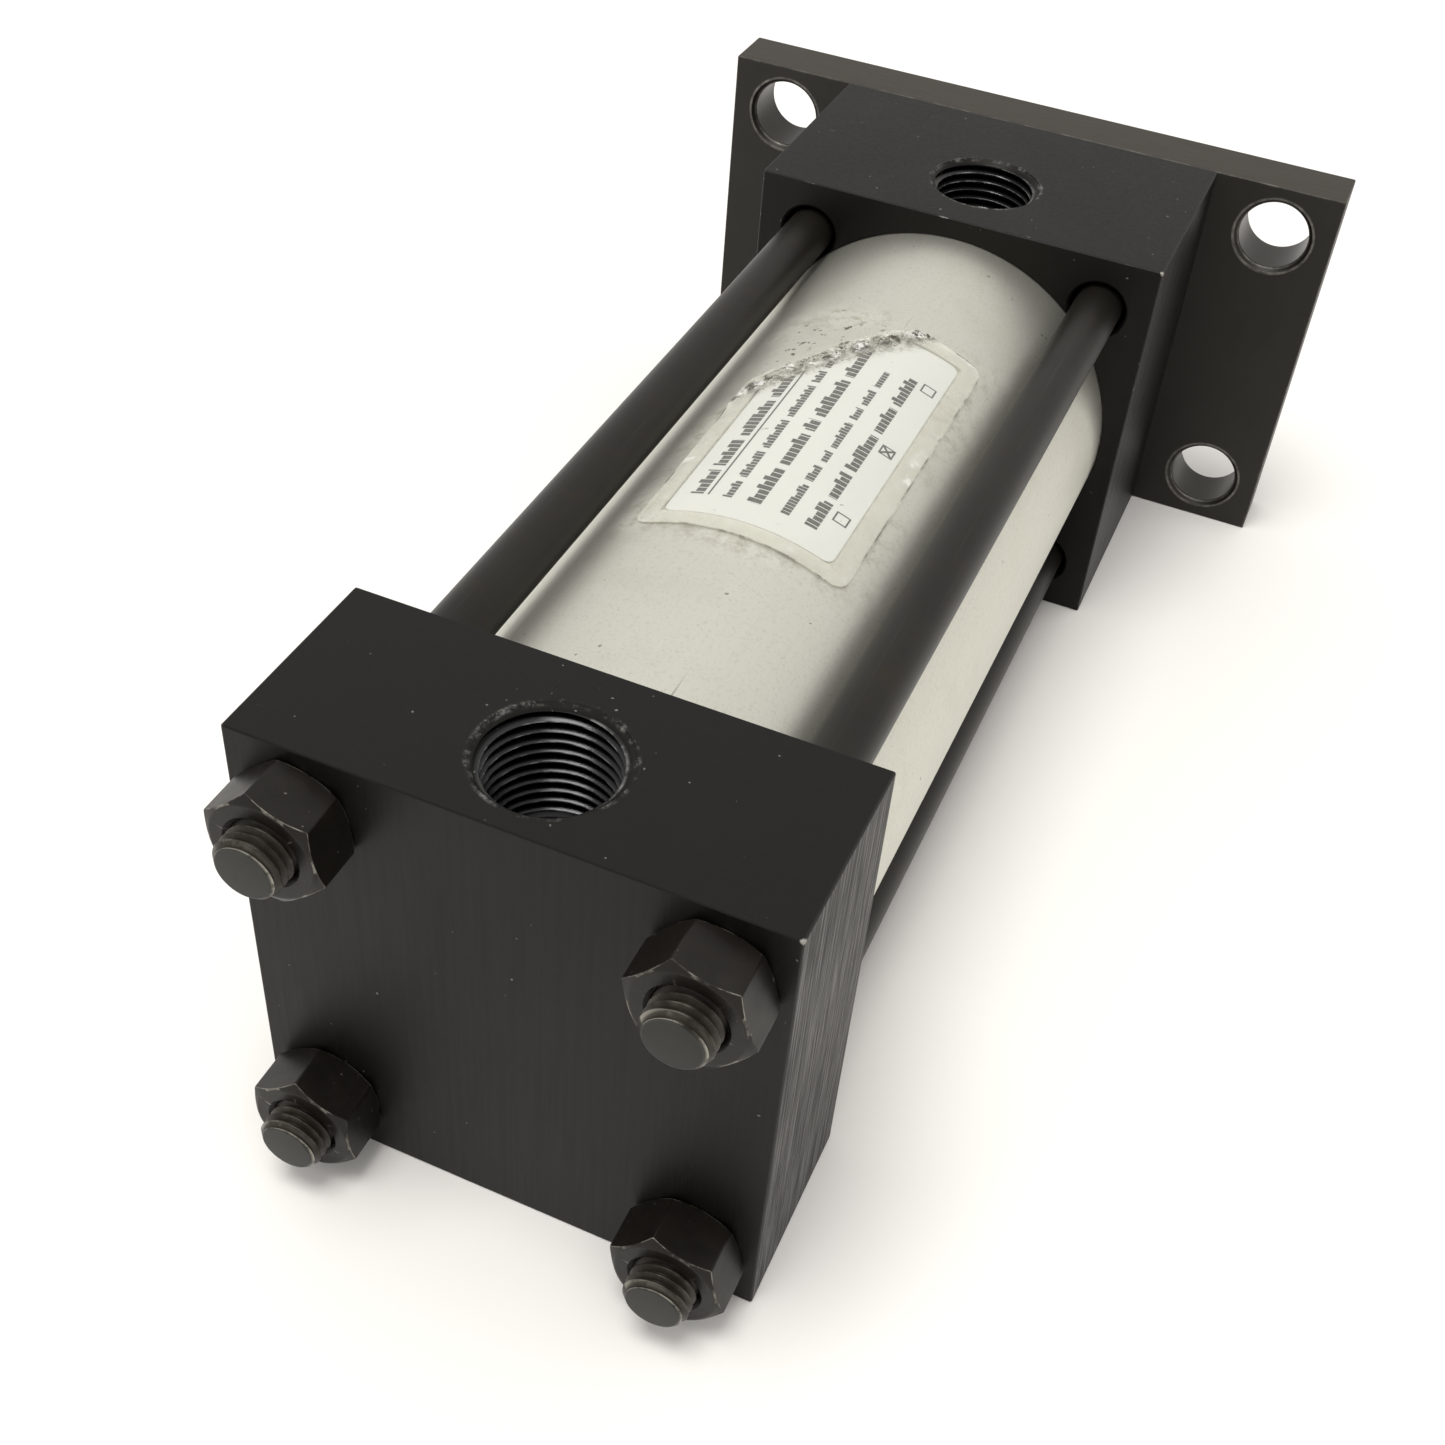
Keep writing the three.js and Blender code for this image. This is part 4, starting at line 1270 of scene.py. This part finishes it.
def make_tie_rods():
    for number, corner in enumerate(CORNERS):
        low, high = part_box("tie_rod_" + corner)
        crest = (high.x - low.x) / 2
        shank = crest - 0.35 * MM
        outline = [
            (0, low.y),
            (crest - 0.75 * MM, low.y, 0.2 * MM),
            (crest, low.y + 0.75 * MM),
            (crest, low.y + 22 * MM),
            (shank, low.y + 22.6 * MM),
            (shank, high.y - 15 * MM),
            (crest, high.y - 14.4 * MM),
            (crest, high.y - 0.7 * MM),
            (crest - 0.7 * MM, high.y, 0.15 * MM),
            (0, high.y),
        ]
        stretches = [
            (STUD_PITCH, crest, low.y - 0.5 * MM, low.y + 5.5 * MM),
            (STUD_PITCH, crest, high.y - 1.6 * MM, high.y + 0.5 * MM),
        ]
        rod = place(threaded(outline, stretches, 64), ALONG_Y)
        rod.location = ((low.x + high.x) / 2, 0, (low.z + high.z) / 2)
        finish = black_rod("tie_rod_finish_" + corner, low.y, (0.3 * number, 0.1, 0.2 * number))
        add_piece(rod, "tie_rod_bar_" + corner, "cylinder", "black_rod", finish, "tie_rod_" + corner)


def make_tie_rod_nuts():
    for number, corner in enumerate(CORNERS):
        node = "tie_rod_nut_" + corner
        low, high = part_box(node)
        nut = hex_nut("hex_nut_" + corner, NUT_FLATS, high.y - low.y, 2 * TAPPED_RADIUS, -NUT_TURNS[corner])
        place(nut, Matrix.Translation((0, low.y, 0)) @ ALONG_Y)
        nut.location = ((low.x + high.x) / 2, 0, (low.z + high.z) / 2)
        finish = black_nut("nut_finish_" + corner, (0.2 * number, 0.4, 0.1 * number))
        add_piece(nut, "hex_nut_" + corner, "cylinder", "black_nut", finish, node)


def make_rod():
    """Hard chrome rod: spigot for the piston, two wrench flats and a threaded end with a centre hole."""
    low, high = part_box("piston_rod")
    shoulder = next(m["pos_m"][1] for m in frame["record"]["mounts"] if m["name"] == "rod_shoulder_face")
    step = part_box("piston")[1].y
    relief = ROD_THREAD_RADIUS - 0.75 * MM
    centre_hole = 1.6 * MM
    outline = [
        (0, low.y),
        (SPIGOT_RADIUS - 0.8 * MM, low.y, 0.15 * MM),
        (SPIGOT_RADIUS, low.y + 0.8 * MM),
        (SPIGOT_RADIUS, step - 0.05 * MM),
        (ROD_RADIUS, step - 0.05 * MM, 0.2 * MM),
        (ROD_RADIUS, shoulder - 0.6 * MM, 0.2 * MM),
        (ROD_RADIUS - 0.6 * MM, shoulder, 0.2 * MM),
        (relief, shoulder, 0.4 * MM),
        (relief, shoulder + 1.5 * MM, 0.4 * MM),
        (ROD_THREAD_RADIUS, shoulder + 2.2 * MM),
        (ROD_THREAD_RADIUS, high.y - MM),
        (ROD_THREAD_RADIUS - MM, high.y, 0.15 * MM),
        (centre_hole, high.y, 0.1 * MM),
        (0.6 * MM, high.y - 1.7 * MM),
        (0.6 * MM, high.y - 3 * MM),
        (0, high.y - 3.3 * MM),
    ]
    nut_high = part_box("piston_nut")[1].y
    stretches = [
        (SPIGOT_PITCH, SPIGOT_RADIUS, low.y - 0.5 * MM, nut_high),
        (ROD_PITCH, ROD_THREAD_RADIUS, shoulder + 1.8 * MM, high.y + 0.5 * MM),
    ]
    rod = place(threaded(outline, stretches, 128), ALONG_Y)
    for side in (-1, 1):
        reach = 4 * MM
        start = Vector((side * WRENCH_FLATS / 2, shoulder - FLAT_LENGTH, -12 * MM))
        end = Vector((side * (WRENCH_FLATS / 2 + reach), shoulder + 0.4 * MM, 12 * MM))
        lowest = Vector(map(min, start, end))
        highest = Vector(map(max, start, end))
        cutter = rounded_block("flat", lowest, highest, 0.3 * MM)
        combine(rod, cutter, "DIFFERENCE")
    chrome = turned_metal("chrome_finish", (0.50, 0.505, 0.515, 1), (0.60, 0.605, 0.61, 1), 0.06, 0.13)
    add_piece(rod, "chrome_rod", "rod", "hard_chrome", chrome, "piston_rod")


def make_piston():
    """Aluminium piston with its two lip seals, wear band, inner O-ring and nut."""
    low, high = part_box("piston")
    outer = high.x
    rear, front = low.y, high.y
    seal_floor = outer - SEAL_GROOVE_DEPTH
    wear_floor = outer - WEAR_GROOVE_DEPTH
    bore = SPIGOT_RADIUS + 0.05 * MM
    centre = (rear + front) / 2
    band = WEAR_GROOVE_WIDTH / 2
    first, last = rear + SEAL_OFFSET, front - SEAL_OFFSET
    ring_low, ring_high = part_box("piston_o_ring")
    ring_rear, ring_front = ring_low.y - 0.1 * MM, ring_high.y + 0.1 * MM
    ring_floor = ring_high.x + 0.05 * MM
    nut_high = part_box("piston_nut")[1].y
    pocket = 12 * MM
    edge = 0.2 * MM
    outline = [
        (pocket, rear, edge),
        (outer - 0.5 * MM, rear, edge),
        (outer, rear + 0.5 * MM, edge),
        (outer, first, edge),
        (seal_floor, first, edge),
        (seal_floor, first + SEAL_GROOVE_WIDTH, edge),
        (outer, first + SEAL_GROOVE_WIDTH, edge),
        (outer, centre - band, edge),
        (wear_floor, centre - band, edge),
        (wear_floor, centre + band, edge),
        (outer, centre + band, edge),
        (outer, last - SEAL_GROOVE_WIDTH, edge),
        (seal_floor, last - SEAL_GROOVE_WIDTH, edge),
        (seal_floor, last, edge),
        (outer, last, edge),
        (outer, front - 0.5 * MM, edge),
        (outer - 0.5 * MM, front, edge),
        (bore, front, edge),
        (bore, ring_front),
        (ring_floor, ring_front),
        (ring_floor, ring_rear),
        (bore, ring_rear),
        (bore, nut_high + 0.05 * MM),
        (pocket, nut_high + 0.05 * MM, edge),
    ]
    metal = turned_metal("piston_finish", (0.60, 0.60, 0.60, 1), (0.74, 0.74, 0.735, 1), 0.24, 0.38)
    add_piece(turned_along_y("piston", outline), "piston_body", "rod", "bare_aluminium", metal, "piston")

    black = rubber("piston_seal_finish")
    make_o_ring("piston_ring_seal", "rod", black, "piston_o_ring", bore)
    lip_seal("lip_seal_rear", "piston_seals", black, "piston_seal_rear", seal_floor + 0.15 * MM, -1)
    lip_seal("lip_seal_front", "piston_seals", black, "piston_seal_front", seal_floor + 0.15 * MM, 1)
    make_ring(
        "wear_ring", "piston_seals", "acetal", acetal("wear_finish"), "wear_band", wear_floor + 0.15 * MM
    )

    nut_low, nut_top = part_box("piston_nut")
    nut = hex_nut("nut", PISTON_NUT_FLATS, nut_top.y - nut_low.y, 2 * SPIGOT_RADIUS + 0.1 * MM, 30)
    place(nut, Matrix.Translation((0, nut_low.y, 0)) @ ALONG_Y)
    plated = turned_metal("plated_finish", (0.42, 0.42, 0.40, 1), (0.56, 0.555, 0.53, 1), 0.28, 0.42)
    add_piece(nut, "piston_hex_nut", "rod", "plated_steel", plated, "piston_nut")


def torn(points, step=0.35 * MM, jag=0.38 * MM):
    """A line through points with small uneven teeth, as torn paper has."""
    line = []
    for start, end in zip(points, points[1:]):
        start, end = Vector(start), Vector(end)
        count = max(2, round((end - start).length / step))
        for i in range(count):
            point = start.lerp(end, i / count)
            tooth = noise.noise_vector(Vector((point.x, point.y, 0)) / MM * 1.7)
            line.append((point.x + jag * tooth.x, point.y + jag * tooth.y))
    line.append(tuple(points[-1]))
    return line


def sheet(name, outline, base, thickness, lift, cell):
    """Thin sheet on the barrel from an outline of (girth, y) points. lift(g, y) raises it off the barrel."""
    girths = [point[0] for point in outline]
    stations = [point[1] for point in outline]
    low = (min(girths) - MM, min(stations) - MM)
    size = (max(girths) + MM - low[0], max(stations) + MM - low[1])
    across, along = (max(2, round(length / cell)) for length in size)
    bm = bmesh.new()
    bmesh.ops.create_grid(bm, x_segments=across, y_segments=along, size=0.5)
    for vertex in bm.verts:
        vertex.co = (low[0] + (vertex.co.x + 0.5) * size[0], low[1] + (vertex.co.y + 0.5) * size[1], 0)
    faces = bmesh.ops.extrude_face_region(bm, geom=list(bm.faces))
    raised = [item for item in faces["geom"] if isinstance(item, bmesh.types.BMVert)]
    bmesh.ops.translate(bm, vec=(0, 0, thickness), verts=raised)
    piece = from_bmesh(name, bm)

    count = len(outline)
    points = [(*point, -MM) for point in outline] + [(*point, MM) for point in outline]
    sides = [[i, (i + 1) % count, count + (i + 1) % count, count + i] for i in range(count)]
    cutter = from_faces("outline", points, [list(range(count)), list(range(count, 2 * count))] + sides)
    combine(piece, cutter, "INTERSECT")
    for vertex in piece.data.vertices:
        girth, y, height = vertex.co
        radius = base + height + lift(girth, y)
        angle = girth / BARREL_RADIUS
        vertex.co = (radius * math.sin(angle), y, radius * math.cos(angle))
    return piece


def tear_ridge(girth, y, spread):
    """1 on the tear's line, falling smoothly to 0 on both sides."""
    beyond = (Vector((girth, y)) - TEAR_LEFT_END).dot(TEAR_OUT)
    return math.exp(-((beyond / spread) ** 2))


def film_lift(girth, y):
    """Waves all over the film, and a creased ridge along its tear."""
    spot = Vector((girth, y, 0)) / MM
    waves = 0.5 + 0.5 * noise.noise(spot * 0.35)
    creases = abs(noise.noise(spot * 1.1 + Vector((5, 3, 0))))
    return (0.06 * waves + tear_ridge(girth, y, 2 * MM) * (0.18 + 0.7 * creases)) * MM


def label_lift(girth, y):
    """The label lies flat, with a curled lip along its tear."""
    return 0.16 * MM * tear_ridge(girth, y, 1.5 * MM)


def wandering(start, end, seed, stray=2.5 * MM, steps=10):
    """Points from start to end that stray from the straight line by seeded noise."""
    start, end = Vector(start), Vector(end)
    points = []
    for i in range(steps + 1):
        share = i / steps
        off = stray * math.sin(math.pi * share) * noise.noise(Vector((4.3 * share, seed, 0)))
        points.append(tuple(start.lerp(end, share) + off * TEAR_OUT))
    return points


def torn_sheet(name, low, high, corner, base, thickness, lift, cell):
    """Sheet with rounded corners and one corner torn off. low and high are (girth, y)."""
    right_end = (low[0] + TEAR_ACROSS * (high[0] - low[0]), high[1])
    left_end = (low[0], low[1] + TEAR_ALONG * (high[1] - low[1]))
    rounded = filleted([
        left_end, (*low, corner), (high[0], low[1], corner), (*high, corner), right_end,
    ])
    edge = torn(wandering(right_end, left_end, TEAR_SEED[name]))
    return sheet(name, rounded + edge[1:-1], base, thickness, lift, cell)


def make_label():
    """Torn paper label under a larger clear film."""
    low, high = (LABEL_LEFT, LABEL_LOW.y), (LABEL_RIGHT, LABEL_HIGH.y)
    paper = torn_sheet("paper", low, high, 1.5 * MM, LABEL_BASE, 0.12 * MM, label_lift, 0.8 * MM)
    add_piece(paper, "paper_label", "cylinder", "label_white", label_paper("paper_finish"), "label")
    low, high = (FILM_LEFT, FILM_LOW.y), (FILM_RIGHT, FILM_HIGH.y)
    film = torn_sheet("film", low, high, 2.8 * MM, FILM_BASE, 0.06 * MM, film_lift, 0.45 * MM)
    add_piece(
        film,
        "clear_label_film",
        "cylinder",
        "label_film",
        clear_film("film_finish"),
        "label_film",
        sharp=60
    )


def make_stage():
    """Pale seamless floor under the cylinder."""
    bm = bmesh.new()
    bmesh.ops.create_grid(bm, x_segments=1, y_segments=1, size=3)
    floor = from_bmesh("floor", bm)
    floor.location = (0, 0.1, FLOOR - 0.02 * MM)
    look = Look("floor_finish", metallic=0.0, roughness=0.6)
    look.set(base_color=look.mix(look.noise(4, 3.0), (0.86, 0.845, 0.82, 1), (0.88, 0.865, 0.845, 1)))
    floor.data.materials.append(look.material)


def add_area(name, place_at, aim, size, power, colour=(1, 1, 1)):
    light = bpy.data.lights.new(name, "AREA")
    light.shape = "DISK"
    light.size = size
    light.energy = power
    light.color = colour
    lamp = bpy.data.objects.new(name, light)
    bpy.context.scene.collection.objects.link(lamp)
    lamp.location = place_at
    lamp.rotation_euler = (Vector(aim) - Vector(place_at)).to_track_quat("-Z", "Y").to_euler()


def make_light():
    world = bpy.data.worlds.new("studio")
    bpy.context.scene.world = world
    world.use_nodes = True
    world.node_tree.nodes["Background"].inputs["Color"].default_value = (1.0, 0.985, 0.96, 1)
    world.node_tree.nodes["Background"].inputs["Strength"].default_value = 0.86
    add_area("key", (-0.12, -0.2, 1.35), (0, 0.1, 0), 0.7, 12, (1.0, 0.985, 0.955))
    bpy.context.scene.view_settings.view_transform = "Standard"


def make_camera():
    azimuth, elevation, roll = (math.radians(a) for a in (20.0, 42.4, 5.2))
    aim = Vector((-12.8, 95, -37.4)) * MM
    distance = 290.5 * MM
    forward = Vector((
        -math.sin(azimuth) * math.cos(elevation),
        math.cos(azimuth) * math.cos(elevation),
        -math.sin(elevation),
    ))
    camera = bpy.data.objects.new("camera", bpy.data.cameras.new("camera"))
    bpy.context.scene.collection.objects.link(camera)
    turn = forward.to_track_quat("-Z", "Y").to_matrix().to_4x4() @ Matrix.Rotation(roll, 4, "Z")
    camera.matrix_world = Matrix.Translation(aim - forward * distance) @ turn
    camera.data.lens = 45.34
    camera.data.sensor_width = 36
    camera.data.clip_start = 0.01
    bpy.context.scene.camera = camera


make_camera()
make_stage()
make_light()
make_cap()
make_head()
make_flange()
make_barrel()
make_tie_rods()
make_tie_rod_nuts()
make_gland()
make_rod()
make_piston()
make_label()
